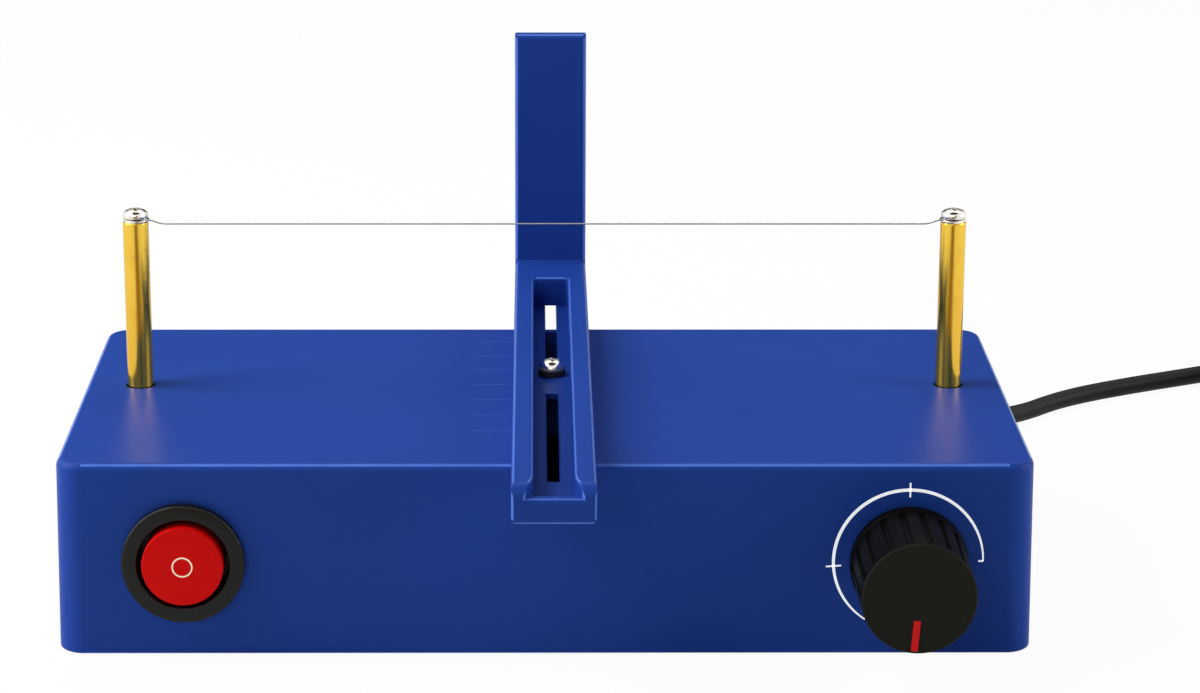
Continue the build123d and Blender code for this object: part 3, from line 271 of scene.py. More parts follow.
class SurfaceGraph(NodeGraph):
    """A material's tree, with the patterns that the finishes share."""

    def __init__(self, material: bpy.types.Material) -> None:
        """Start an empty tree in a material.

        Args:
            material: The material.
        """
        material.use_nodes = True
        material.node_tree.nodes.clear()
        super().__init__(material.node_tree)
        self.place = self.add("ShaderNodeTexCoord").outputs["Object"]

    def stretched(self, scale: Point) -> Socket:
        """Object coordinates with each axis scaled."""
        return self.add("ShaderNodeMapping", None, {"Vector": self.place, "Scale": scale}).outputs[0]

    def noise(self, scale: float, detail: float = 3.0, where: Any = None) -> Val:
        """Cloudy noise, about 0.5 on average.

        Args:
            scale: Clouds per metre.
            detail: Octaves added to it.
            where: Coordinates, if not the object's own.

        Returns:
            The noise.
        """
        sockets = {"Vector": where or self.place, "Scale": scale, "Detail": detail}
        return self.val("ShaderNodeTexNoise", None, sockets)

    def attribute(self, name: str) -> Val:
        """A number that the mesh carries."""
        return self.val("ShaderNodeAttribute", {"attribute_name": name}, None, "Fac")

    def bump(self, height: Val, depth: float) -> Socket:
        """Normal of bumps of a height in metres."""
        sockets = {"Strength": 1.0, "Distance": depth, "Height": height}
        return self.add("ShaderNodeBump", None, sockets).outputs[0]

    def show(self, shader: bpy.types.Node) -> None:
        """End the tree in a shader."""
        self.add("ShaderNodeOutputMaterial", None, {"Surface": shader.outputs[0]})

    def principled(self, sockets: Mapping[str, Any]) -> None:
        """End the tree in a Principled shader with these inputs."""
        self.show(self.add("ShaderNodeBsdfPrincipled", None, sockets))


class ShapeTree(NodeGraph):
    """A geometry tree with named inputs, whose result becomes a plain mesh."""

    KINDS = {float: "Float", int: "Int", bpy.types.Object: "Object"}

    def __init__(self, name: str) -> None:
        """Start a tree with a geometry input and output.

        Args:
            name: The tree's name.
        """
        super().__init__(bpy.data.node_groups.new(name, "GeometryNodeTree"))
        for way in ("OUTPUT", "INPUT"):
            self.tree.interface.new_socket("Geometry", in_out=way, socket_type="NodeSocketGeometry")
        self._entry = self.add("NodeGroupInput")
        self._values: dict[str, Any] = {}
        self.geometry = self._entry.outputs["Geometry"]

    def inputs(self, values: Mapping[str, float | int | bpy.types.Object]) -> list[Val]:
        """Add named inputs to the tree.

        Args:
            values: What each of them is set to when the tree runs.

        Returns:
            The inputs.
        """
        for name, value in values.items():
            kind = f"NodeSocket{self.KINDS[type(value)]}"
            socket = self.tree.interface.new_socket(name, in_out="INPUT", socket_type=kind)
            self._values[socket.identifier] = value
        return [Val(self, self._entry.outputs[name]) for name in values]

    def places(self, places: Sequence[Point]) -> Socket:
        """Add an input named Places, of an object that holds points.

        Args:
            places: Where the points are.

        Returns:
            The points as geometry.
        """
        dots = bpy.data.meshes.new("places")
        dots.from_pydata([tuple(place) for place in places], [], [])
        (spots,) = self.inputs({"Places": linked("places", dots)})
        settings = {"transform_space": "ORIGINAL"}
        return self.add("GeometryNodeObjectInfo", settings, {"Object": spots}).outputs["Geometry"]

    def coordinates(self) -> tuple[Val, Val, Val]:
        """The points' own x, y and z."""
        return self.parts(self.add("GeometryNodeInputPosition").outputs[0])

    def reach(self) -> Val:
        """The points' distance from the upright axis."""
        x, y, _ = self.coordinates()
        return self.math("SQRT", x * x + y * y)

    def polar(self, reach: Val, angle: Val, z: Any) -> Socket:
        """Vector of a distance from the upright axis, an angle round it and a height."""
        return self.vector(reach * self.math("COSINE", angle), reach * self.math("SINE", angle), z)

    def moved(self, geometry: Socket, vector: Socket, socket: str = "Offset") -> Socket:
        """Geometry with its points moved by an Offset, or to a Position."""
        sockets = {"Geometry": geometry, socket: vector}
        return self.add("GeometryNodeSetPosition", None, sockets).outputs[0]

    def pressed(self, depth: Val, outside: Val) -> Socket:
        """Press the geometry towards the upright axis.

        Args:
            depth: How deep each point goes.
            outside: Radius beyond which points move.

        Returns:
            The pressed geometry.
        """
        x, y, _ = self.coordinates()
        reach = self.reach().most(NEAR_AXIS)
        sunk = depth * reach.step(outside, outside + STEP_RUN) / reach
        return self.moved(self.geometry, self.vector(x * sunk * -1.0, y * sunk * -1.0, 0.0))

    def block(self, size: Any, cuts: Mapping[str, int] | None = None) -> Socket:
        """Block of a size, with as many points along each axis as asked for."""
        return self.add("GeometryNodeMeshCube", None, {"Size": size, **(cuts or {})}).outputs[0]

    def copies(
        self, points: Socket, instance: Socket, sockets: Mapping[str, Any] | None = None
    ) -> Socket:
        """Copies of a piece on points, turned and stretched as the sockets say."""
        links = {"Points": points, "Instance": instance, **(sockets or {})}
        return self.add("GeometryNodeInstanceOnPoints", None, links).outputs[0]

    def end(self, geometry: Socket, finish: Finish) -> None:
        """End the tree in real geometry with a finish.

        Args:
            geometry: What the tree has made.
            finish: The finish that it sets.
        """
        real = self.add("GeometryNodeRealizeInstances", None, {0: geometry}).outputs[0]
        sockets = {"Geometry": real, "Material": finish.material()}
        dressed = self.add("GeometryNodeSetMaterial", None, sockets).outputs[0]
        self.add("NodeGroupOutput", None, {"Geometry": dressed})

    def run(self, mesh: Mesh | None = None) -> Mesh:
        """Run the tree once.

        Args:
            mesh: What goes in, if anything does.

        Returns:
            The result as a plain mesh.
        """
        obj = linked("shape_in_work", mesh or bpy.data.meshes.new("start"))
        modifier = obj.modifiers.new("shape", "NODES")
        modifier.node_group = self.tree
        for identifier, value in self._values.items():
            modifier[identifier] = value
        shown = obj.evaluated_get(bpy.context.evaluated_depsgraph_get())
        made = bpy.data.meshes.new_from_object(shown)
        spots = (value for value in self._values.values() if isinstance(value, bpy.types.Object))
        for used in (obj, *spots):
            bpy.data.objects.remove(used)
        return made


# Finishes


@dataclass(frozen=True)
class Finish:
    """A finish, from which a material is made once."""

    name: str

    def material(self) -> bpy.types.Material:
        """Make the finish's material when it is first asked for, and find it later.

        Returns:
            The material.
        """
        label = f"{self.name}_look"
        found = bpy.data.materials.get(label)
        if found:
            return found
        made = bpy.data.materials.new(label)
        self.paint(SurfaceGraph(made))
        return made

    def paint(self, graph: SurfaceGraph) -> None:
        """Build the tree. Each finish has its own."""
        raise NotImplementedError


@dataclass(frozen=True)
class MouldedPlastic(Finish):
    """Injection-moulded plastic: even colour, faint flow clouds and a fine eroded grain."""

    color: Color
    shade: Color
    roughness: float = 0.42
    specular: float = 0.3
    # Painted highlight colour for the narrow outer rounds that the mesh marks.
    edge: Color | None = None
    grain_scale: float = 2600.0
    grain_depth: float = 0.012 * MM
    grain_swing: float = 0.08
    cloud_scale: float = 22.0
    cloud_range: Range = (0.3, 0.75)
    rub_scale: float = 140.0
    rub_detail: float = 4.0
    rub_swing: float = 0.1
    # Share of the painted edge highlight that always shows, and how much glossier it leaves the edge.
    highlight_share: float = 0.6
    highlight_gloss: float = 0.2

    def paint(self, graph: SurfaceGraph) -> None:
        """Clouds in the colour, grain in the roughness and the normal, and a painted highlight colour
        on marked narrow outer rounds.

        Args:
            graph: The material's tree.
        """
        clouds = graph.noise(self.cloud_scale).step(*self.cloud_range)
        grain = graph.noise(self.grain_scale)
        # This noise varies the roughness and makes the painted edge highlight uneven.
        rub_and_sheen = graph.noise(self.rub_scale, self.rub_detail)
        tone = graph.blend(clouds, self.color, self.shade)
        roughness = self.roughness + self.grain_swing * (grain - 0.5) + self.rub_swing * (rub_and_sheen - 0.5)
        # Painted highlight: marked narrow outer rounds get the lighter edge colour and less
        # roughness.
        if self.edge:
            highlighted = graph.attribute(EDGE_HIGHLIGHT)
            share = self.highlight_share + (1.0 - self.highlight_share) * rub_and_sheen
            tone = graph.blend(highlighted * share, tone, self.edge)
            roughness = roughness - self.highlight_gloss * highlighted
        graph.principled(
            {
                "Base Color": tone,
                "Roughness": roughness,
                "Specular IOR Level": self.specular,
                "Normal": graph.bump(grain, self.grain_depth),
            }
        )


@dataclass(frozen=True)
class KnobPlastic(MouldedPlastic):
    """Black moulded plastic with a greyer matt cap at its front."""

    cap: Color = (0.02, 0.0205, 0.0165)
    cap_y: float = 0.0
    cap_matt: float = 0.15
    cap_share: Range = (0.9, 0.2)

    def paint(self, graph: SurfaceGraph) -> None:
        """Grip and cap, told apart by how far to the front they lie.

        Args:
            graph: The material's tree.
        """
        clouds = graph.noise(self.cloud_scale).step(*self.cloud_range)
        grain = graph.noise(self.grain_scale)
        front = 1.0 - graph.parts(graph.place)[1].step(self.cap_y, self.cap_y + STEP_RUN)
        grip = graph.blend(clouds, self.color, self.shade)
        share, swing = self.cap_share
        matt = self.cap_matt * front
        graph.principled(
            {
                "Base Color": graph.blend(front * (share + swing * clouds), grip, self.cap),
                "Roughness": self.roughness + self.grain_swing * (grain - 0.5) + matt,
                "Specular IOR Level": self.specular,
                "Normal": graph.bump(grain, self.grain_depth),
            }
        )


@dataclass(frozen=True)
class DrawnMetal(Finish):
    """Drawn or turned metal with fine lines along one axis and a little tarnish."""

    color: Color
    tarnish: Color
    roughness: float = 0.18
    lines: Point = (5200.0, 5200.0, 60.0)
    line_depth: float = 0.0015 * MM
    line_detail: float = 2.0
    line_swing: float = 0.12
    stain_scale: float = 260.0
    stain_detail: float = 5.0
    stain_range: Range = (0.45, 0.8)
    stain_swing: float = 0.06
    tarnish_share: float = 0.5
    # Painted shade colour, and the matt it adds, where the mesh's painted-shade attribute marks it.
    shade_tone: Color = (0.012, 0.011, 0.009)
    shade_matt: float = 0.8

    def tone(self, graph: SurfaceGraph, stain: Val) -> Socket:
        """The metal's own colour with its tarnish."""
        return graph.blend(stain * self.tarnish_share, self.color, self.tarnish)

    def paint(self, graph: SurfaceGraph) -> None:
        """Lines in the normal and the roughness, tarnish in the colour, and painted shade, dark and
        matt, where the mesh marks it.

        Args:
            graph: The material's tree.
        """
        lines = graph.noise(1.0, self.line_detail, graph.stretched(self.lines))
        stain = graph.noise(self.stain_scale, self.stain_detail).step(*self.stain_range)
        # Painted shade: marked points turn near-black and matt, without metal.
        recess = graph.attribute(PAINTED_SHADE)
        roughness = self.roughness + self.line_swing * (lines - 0.5) + self.stain_swing * stain
        graph.principled(
            {
                "Base Color": graph.blend(recess, self.tone(graph, stain), self.shade_tone),
                "Metallic": 1.0 - recess,
                "Roughness": roughness + self.shade_matt * recess,
                "Normal": graph.bump(lines, self.line_depth),
            }
        )


@dataclass(frozen=True)
class FootTintedMetal(DrawnMetal):
    """Drawn metal painted browner towards its foot: a painted reflection tint for the brown
    reflections low on the posts.
    """

    # Painted reflection tint, and the heights over which it fades out upwards.
    reflection_tint: Color = (0.8, 0.47, 0.055)
    tint_height: Range = (36 * MM, 66 * MM)

    def tone(self, graph: SurfaceGraph, stain: Val) -> Socket:
        """The metal's own colour, with a painted reflection tint that browns it low down."""
        tint_share = 1.0 - graph.parts(graph.place)[2].step(*self.tint_height)
        return graph.blend(tint_share, super().tone(graph, stain), self.reflection_tint)


@dataclass(frozen=True)
class SoftJacket(Finish):
    """Extruded or moulded soft black plastic, a little dusty."""

    color: Color
    dust: Color
    roughness: float = 0.5
    specular: float = 0.3
    ripple_depth: float = 0.02 * MM
    ripple_scale: float = 420.0
    ripple_swing: float = 0.15
    dust_scale: float = 900.0
    dust_detail: float = 6.0
    dust_range: Range = (0.5, 0.9)
    dust_share: float = 0.35
    dust_swing: float = 0.1

    def paint(self, graph: SurfaceGraph) -> None:
        """Ripples in the normal, dust in the colour.

        Args:
            graph: The material's tree.
        """
        ripple = graph.noise(self.ripple_scale)
        dust = graph.noise(self.dust_scale, self.dust_detail).step(*self.dust_range)
        uneven = self.ripple_swing * (ripple - 0.5)
        graph.principled(
            {
                "Base Color": graph.blend(dust * self.dust_share, self.color, self.dust),
                "Roughness": self.roughness + uneven + self.dust_swing * dust,
                "Specular IOR Level": self.specular,
                "Normal": graph.bump(ripple, self.ripple_depth),
            }
        )


@dataclass(frozen=True)
class PrintedInk(Finish):
    """Pad-printed ink, thin and slightly uneven, with a painted glow where asked."""

    color: Color
    thin: Color
    # Painted glow: emission strength of the ink's own colour.
    self_glow: float = 0.0
    roughness: float = 0.5
    specular: float = 0.2
    cover_scale: float = 1500.0
    cover_detail: float = 4.0
    cover_range: Range = (0.35, 0.75)
    cover_swing: float = 0.1

    def paint(self, graph: SurfaceGraph) -> None:
        """Uneven cover in the colour, with a painted glow: the ink emits its own colour so that it
        reads brighter.

        Args:
            graph: The material's tree.
        """
        cover = graph.noise(self.cover_scale, self.cover_detail).step(*self.cover_range)
        tone = graph.blend(cover, self.color, self.thin)
        graph.principled(
            {
                "Base Color": tone,
                "Roughness": self.roughness + self.cover_swing * cover,
                "Specular IOR Level": self.specular,
                "Emission Color": tone,
                "Emission Strength": self.self_glow,
            }
        )


@dataclass(frozen=True)
class CircuitMask(Finish):
    """Solder mask over copper runs."""

    mask: Color
    run: Color
    roughness: float = 0.35
    run_pitch: float = 260.0
    run_edge: Range = (0.05, 0.12)
    run_swing: float = 0.1
    run_height: float = 0.04 * MM

    def paint(self, graph: SurfaceGraph) -> None:
        """Lighter runs where copper lies under the mask.

        Args:
            graph: The material's tree.
        """
        runs = graph.val(
            "ShaderNodeTexVoronoi",
            {"distance": "CHEBYCHEV", "feature": "DISTANCE_TO_EDGE"},
            {"Vector": graph.place, "Scale": self.run_pitch},
            "Distance",
        )
        copper = 1.0 - runs.step(*self.run_edge)
        graph.principled(
            {
                "Base Color": graph.blend(copper, self.mask, self.run),
                "Roughness": self.roughness + self.run_swing * copper,
                "Normal": graph.bump(copper, self.run_height),
            }
        )


BLACK_TONES = ((0.0085, 0.0087, 0.0066), (0.007, 0.0071, 0.0055))
KNOB_TONES = ((0.0036, 0.0036, 0.0033), (0.003, 0.003, 0.0027))
NO_LINES = (900.0, 900.0, 900.0)
# The blue's last colour is the painted highlight of its narrow outer rounds.
BLUE_PLASTIC = MouldedPlastic(
    "blue_plastic", (0.0155, 0.062, 0.36), (0.0145, 0.058, 0.34), 0.38, 0.09, (0.11, 0.24, 0.8)
)
BLACK_PLASTIC = MouldedPlastic("black_plastic", *BLACK_TONES)
BEZEL_BLACK = MouldedPlastic("bezel_black", *BLACK_TONES, 0.26)
RED_PLASTIC = MouldedPlastic("red_plastic", (0.82, 0.0035, 0.003), (0.74, 0.003, 0.0025), 0.3, 0.07)
POINTER_RED = MouldedPlastic("pointer_red", (0.86, 0.014, 0.016), (0.8, 0.012, 0.013), 0.45, 0.1)
POST_BRASS = FootTintedMetal(
    "post_brass", (0.88, 0.57, 0.07), (0.7, 0.38, 0.035), 0.16, line_depth=0.0008 * MM
)
NUT_BRASS = DrawnMetal("nut_brass", (0.78, 0.57, 0.22), (0.5, 0.32, 0.1), 0.3)
BRIGHT_NICKEL = DrawnMetal("bright_nickel", (0.86, 0.82, 0.73), (0.7, 0.64, 0.5), 0.1, NO_LINES)
ZINC_STEEL = DrawnMetal("zinc_steel", (0.66, 0.67, 0.66), (0.5, 0.5, 0.44), 0.3, NO_LINES)
RESISTANCE_WIRE = DrawnMetal("resistance_wire", (0.42, 0.42, 0.43), (0.25, 0.24, 0.26), 0.34)
TINNED_BRASS = DrawnMetal("tinned_brass", (0.72, 0.7, 0.65), (0.55, 0.5, 0.4), 0.35)
PLAIN_ALUMINIUM = DrawnMetal("plain_aluminium", (0.62, 0.63, 0.64), (0.45, 0.46, 0.47), 0.38)
CORD_SHEATH = SoftJacket("cord_sheath", (0.007, 0.007, 0.006), (0.022, 0.022, 0.019), 0.5, 0.17)
TIE_STRAP = SoftJacket("tie_strap", (0.014, 0.014, 0.015), (0.05, 0.05, 0.05), 0.8, 0.2, 0.08 * MM)
FOOT_RUBBER = SoftJacket(
    "foot_rubber", (0.016, 0.016, 0.016), (0.05, 0.05, 0.048), 0.85, 0.2, 0.06 * MM
)
# White and cream inks glow a little: painted light that brightens them.
WHITE_INK = PrintedInk("white_ink", (0.93, 0.95, 0.98), (0.88, 0.91, 0.96), 0.5)
# Paler blue for the scale's grooves: a painted highlight, not a print.
SCALE_HIGHLIGHT = PrintedInk("scale_highlight", (0.03, 0.1, 0.46), (0.024, 0.085, 0.42))
CREAM_INK = PrintedInk("cream_ink", (0.95, 0.86, 0.66), (0.9, 0.8, 0.58), 0.25)
BOARD_GREEN = CircuitMask("board_green", (0.004, 0.02, 0.01), (0.008, 0.035, 0.018))
BLOCK_GREEN = MouldedPlastic("block_green", (0.02, 0.24, 0.09), (0.015, 0.2, 0.07), 0.5)
HEADER_WHITE = MouldedPlastic("header_white", (0.72, 0.7, 0.62), (0.66, 0.64, 0.55), 0.5)
SLEEVE_BLACK = MouldedPlastic("sleeve_black", (0.015, 0.015, 0.03), (0.012, 0.012, 0.022), 0.25, 0.5)
EPOXY_BLACK = MouldedPlastic("epoxy_black", (0.014, 0.014, 0.014), (0.01, 0.01, 0.01), 0.55)
LEAD_RED = MouldedPlastic("lead_red", (0.32, 0.02, 0.02), (0.26, 0.015, 0.015), 0.45)


# Meshes


def mesh_of(shape: Shape, name: str) -> Mesh:
    """Turn a shape in work into a mesh, and let go of the shape.

    Args:
        shape: The shape in work.
        name: The mesh's name.

    Returns:
        The mesh.
    """
    mesh = bpy.data.meshes.new(name)
    shape.to_mesh(mesh)
    shape.free()
    return mesh


def rounded_outline(corners: Sequence[Corner], steps: int = 6) -> Outline:
    """Outline through corners, each rounded by an arc.

    Args:
        corners: Radius, height and rounding of each corner.
        steps: Runs of each arc.

    Returns:
        The outline's points as radius and height.
    """
    outline: Outline = []
    last = len(corners) - 1
    for k, (radius, height, rounding) in enumerate(corners):
        here = Vector((radius, height))
        if k in (0, last) or rounding <= 0:
            outline.append((radius, height))
            continue
        back = (Vector(corners[k - 1][:2]) - here).normalized()
        ahead = (Vector(corners[k + 1][:2]) - here).normalized()
        half_angle = back.angle(ahead) / 2
        hub = here + (back + ahead).normalized() * rounding / math.sin(half_angle)
        start = here + back * rounding / math.tan(half_angle) - hub
        end = here + ahead * rounding / math.tan(half_angle) - hub
        sweep = start.angle_signed(end)
        for step in range(steps + 1):
            outline.append(tuple(hub + Matrix.Rotation(-sweep * step / steps, 2) @ start))
    return outline


def lathe(outline: Outline, columns: int = 96) -> Mesh:
    """Turn an outline about the upright axis.

    Args:
        outline: Radius and height of each point. It is closed, or starts and ends on the axis.
        columns: Points round each ring.

    Returns:
        The mesh, with its faces outwards.
    """
    shape = bmesh.new()
    rings: list[list[bmesh.types.BMVert]] = []
    for radius, height in outline:
        if radius < MERGE:
            rings.append([shape.verts.new((0, 0, height))])
            continue
        turns = (TURN * k / columns for k in range(columns))
        rings.append(
            [shape.verts.new((radius * math.cos(t), radius * math.sin(t), height)) for t in turns]
        )
    for low, high in zip(rings, rings[1:]):
        for k in range(columns):
            corners = [low[k % len(low)], low[(k + 1) % len(low)]]
            corners += [high[(k + 1) % len(high)], high[k % len(high)]]
            shape.faces.new(list(dict.fromkeys(corners)))
    bmesh.ops.remove_doubles(shape, verts=shape.verts, dist=MERGE)
    bmesh.ops.recalc_face_normals(shape, faces=shape.faces)
    return mesh_of(shape, "turned")


def smoothed(mesh: Mesh, angle: float = 32.0) -> Mesh:
    """Shade a mesh smooth, but not over its sharp edges.

    Args:
        mesh: The mesh.
        angle: The least angle of an edge that stays sharp, in degrees.

    Returns:
        The same mesh.
    """
    mesh.shade_smooth()
    mesh.set_sharp_from_angle(angle=math.radians(angle))
    return mesh


def turned(outline: Outline, columns: int, place: Matrix) -> Mesh:
    """Turn an outline into a smooth mesh that stands in its place.

    Args:
        outline: Radius and height of each point.
        columns: Points round each ring.
        place: How the upright mesh is turned and moved.

    Returns:
        The mesh.
    """
    mesh = smoothed(lathe(outline, columns))
    mesh.transform(place)
    return mesh


def flat_areas(shape: Shape, level: float = 0.99999) -> dict[int, float]:
    """Area of the flat that each face belongs to.

    Args:
        shape: The shape.
        level: Cosine of the angle that still counts as flat.

    Returns:
        The areas by the faces' numbers.
    """
    areas: dict[int, float] = {}
    for first in shape.faces:
        if first.index in areas:
            continue
        flat = {first}
        edge_faces = [first]
        while edge_faces:
            face = edge_faces.pop()
            for other in (f for edge in face.edges for f in edge.link_faces):
                if other not in flat and other.normal.dot(first.normal) > level:
                    flat.add(other)
                    edge_faces.append(other)
        area = sum(face.calc_area() for face in flat)
        areas.update((face.index, area) for face in flat)
    return areas


@dataclass(frozen=True)
class HighlightRule:
    """Tells the middles of narrow outer rounds, which get a painted highlight colour."""

    run: float = HIGHLIGHT_RUN
    width: float = 0.3 * MM
    square: float = 0.93
    skyward: Range = (0.1, 0.7)
    side_share: float = 0.4
    flat_angle: float = 1e-3

    def holds(self, face: bmesh.types.BMFace, area: float) -> bool:
        """Whether a face gets the painted highlight.

        Args:
            face: The face.
            area: Area of the flat that it belongs to.

        Returns:
            The answer.
        """
        longest = max(edge.calc_length() for edge in face.edges)
        if area / longest >= self.width or longest <= self.run:
            return False
        low, high = self.skyward
        if max(abs(part) for part in face.normal) >= self.square or low < face.normal.z < high:
            return False
        sides = (edge for edge in face.edges if edge.calc_length() > self.side_share * longest)
        return all(e.is_convex or e.calc_face_angle(0.0) < self.flat_angle for e in sides)


def welded(
    source: Mesh, name: str, highlight_rule: HighlightRule, rework: Rework | None = None, angle: float = 40.0
) -> Mesh:
    """Merged copy of a mesh whose flats stay flat while its rounds run smoothly into them.

    Args:
        source: A mesh of loose triangles.
        name: The copy's name.
        highlight_rule: Which faces get the painted highlight.
        rework: What is done to the merged shape first.
        angle: Faces that meet at more than this, in degrees, keep their edge.

    Returns:
        The copy, with a normal of its own for each corner and the faces of its painted edge highlight
        marked.
    """
    shape = bmesh.new()
    shape.from_mesh(source)
    bmesh.ops.remove_doubles(shape, verts=shape.verts, dist=WELD)
    if rework:
        rework(shape)
    shape.normal_update()
    shape.faces.index_update()
    areas = flat_areas(shape)
    highlighted = [float(highlight_rule.holds(face, areas[face.index])) for face in shape.faces]
    least = math.cos(math.radians(angle))
    normals = []
    for face in shape.faces:
        for corner in face.loops:
            near = (f for f in corner.vert.link_faces if f.normal.dot(face.normal) > least)
            normals.append(sum((f.normal * areas[f.index] for f in near), Vector()).normalized())
    mesh = mesh_of(shape, name)
    mesh.shade_smooth()
    mesh.normals_split_custom_set(normals)
    mesh.attributes.new(EDGE_HIGHLIGHT, "FLOAT", "FACE").data.foreach_set("value", highlighted)
    return mesh


def cut_rows(shape: Shape, axis: int, start: float, radius: float, cuts: int) -> None:
    """Cut a shape across in rows, ready to be bent into a quarter round.

    Args:
        shape: The shape.
        axis: Number of the axis that the rows follow each other along.
        start: Where the round begins on it.
        radius: The round's radius.
        cuts: How many rows.
    """
    for k in range(1, cuts + 1):
        place, way = [0.0] * 3, [0.0] * 3
        place[axis] = start + radius * (1 - math.cos(QUARTER * k / cuts))
        way[axis] = 1.0
        parts = [*shape.verts, *shape.edges, *shape.faces]
        bmesh.ops.bisect_plane(shape, geom=parts, plane_co=place, plane_no=way)


def round_fall(radius: float, run: float) -> float:
    """How far a quarter round has fallen at a run from its top."""
    return radius - math.sqrt(max(radius**2 - run**2, 0.0))


def tube_curve(
    name: str, points: Sequence[Point], diameter: float, resolution: int, sides: int
) -> bpy.types.Object:
    """Round tube along one smooth spline.

    Args:
        name: The object's name.
        points: The spline's control points.
        diameter: Of the tube.
        resolution: Steps from one control point to the next.
        sides: Bevel steps of a quarter of the section.

    Returns:
        The curve's object.
    """
    curve = bpy.data.curves.new(name, "CURVE")
    curve.dimensions = "3D"
    spline = curve.splines.new("NURBS")
    spline.points.add(len(points) - 1)
    for control, point in zip(spline.points, points):
        control.co = (*point, 1.0)
    spline.order_u = 3
    spline.use_endpoint_u = True
    curve.resolution_u = resolution
    curve.bevel_depth = diameter / 2
    curve.bevel_resolution = sides
    curve.use_fill_caps = True
    return linked(name, curve)


@dataclass
class Workshop:
    """Puts finished pieces and dressed nodes into the frame."""

    nodes: Mapping[str, bpy.types.Object]

    def piece(
        self,
        name: str,
        mesh: Mesh,
        finish: Finish,
        stands_for: Sequence[str] = (),
        slot: str = "",
        body: Body = Body.BASE,
    ) -> bpy.types.Object:
        """Make a mesh that is in its place a piece, with what fit() takes."""
        mesh.name = name
        return self.fit(linked(name, mesh), finish, stands_for, slot, body)

    def fit(
        self,
        obj: bpy.types.Object,
        finish: Finish,
        stands_for: Sequence[str] = (),
        slot: str = "",
        body: Body = Body.BASE,
    ) -> bpy.types.Object:
        """Make an object that is in the scene a piece of the cutter.

        Args:
            obj: The object, already in its place.
            finish: Its finish.
            stands_for: The nodes that it replaces.
            slot: Not used.
            body: The body that it rides on.

        Returns:
            The same object.
        """
        self.coat(obj, finish)
        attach(obj, body.value)
        if stands_for:
            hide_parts(*stands_for)
        LOG.info("piece %s on %s, %s", obj.name, body.value, finish.name)
        return obj

    def soften(
        self,
        node: str,
        name: str,
        finish: Finish,
        body: Body = Body.BASE,
        highlight_rule: HighlightRule = HighlightRule(),
        rework: Rework | None = None,
    ) -> None:
        """Stand a welded copy of a node, with smooth rounds, for the node itself.

        Args:
            node: The node, whose shape is right.
            name: The copy's name.
            finish: Its finish.
            body: The body that it rides on.
            highlight_rule: Which of its faces get the painted highlight.
            rework: What is done to the copy's shape.
        """
        mesh = welded(self.nodes[node].data, name, highlight_rule, rework)
        self.piece(name, mesh, finish, (node,), body=body)

    def dress(self, finish: Finish, *names: str) -> None:
        """Give nodes that stay their finish.

        Args:
            finish: The finish.
            names: The nodes.
        """
        for name in names:
            self.coat(self.nodes[name], finish)
            LOG.info("node %s, %s", name, finish.name)

    @staticmethod
    def coat(obj: bpy.types.Object, finish: Finish) -> None:
        """Give an object one material."""
        obj.data.materials.clear()
        obj.data.materials.append(finish.material())


def middle(node: str) -> Vector:
    """Middle of a node's box."""
    low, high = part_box(node)
    return (low + high) / 2


# Repeated forms


@dataclass(frozen=True)
class GrooveRings:
    """Rings of grooves round a turned piece, with bridges left across them."""

    count: int
    pitch: float
    width: float
    depth: float
    bridge: float
    bridge_run: float = 0.08
    wall_share: float = 0.15

    def press(self, name: str, plain: Mesh, first: float, outside: float, finish: Finish) -> Mesh:
        """Press the rings into a piece through a tree, each turned from the last.

        Args:
            name: The tree's name.
            plain: The turned piece.
            first: Height of the first ring.
            outside: Radius beyond which they are pressed in.
            finish: The piece's finish.

        Returns:
            The grooved piece.
        """
        tree = ShapeTree(name)
        start, count, pitch, width, depth, bridge, least = tree.inputs(
            {
                "First Groove": first,
                "Grooves": float(self.count),
                "Pitch": self.pitch,
                "Groove Width": self.width,
                "Groove Depth": self.depth,
                "Bridge Share": self.bridge,
                "Least Radius": outside,
            }
        )
        x, y, z = tree.coordinates()
        place = (z - start) / pitch
        ring = tree.math("ROUND", place).most(0.0).least(count - 1.0)
        aside = abs(place - ring) * pitch
        across = 1.0 - aside.step(width * (0.5 - self.wall_share), width * (0.5 + self.wall_share))
        turn = tree.math("ARCTAN2", y, x) + ring * QUARTER
        swing = tree.math("COSINE", turn * 2.0) * 0.5 + 0.5
        between = swing.step(bridge, bridge + self.bridge_run)
        tree.end(tree.pressed(depth * across * between, least), finish)
        return smoothed(tree.run(plain))


def spread_mesh(
    name: str, outline: Outline, columns: int, finish: Finish, places: Sequence[Point]
) -> Mesh:
    """Stand a copy of a turned piece at each of several places, through a tree.

    Args:
        name: The tree's name.
        outline: The piece's outline.
        columns: Points round each of its rings.
        finish: What the tree sets on the copies.
        places: Where they stand.

    Returns:
        One mesh of all the copies.
    """
    tree = ShapeTree(name)
    tree.end(tree.copies(tree.places(places), tree.geometry), finish)
    return smoothed(tree.run(lathe(outline, columns)))


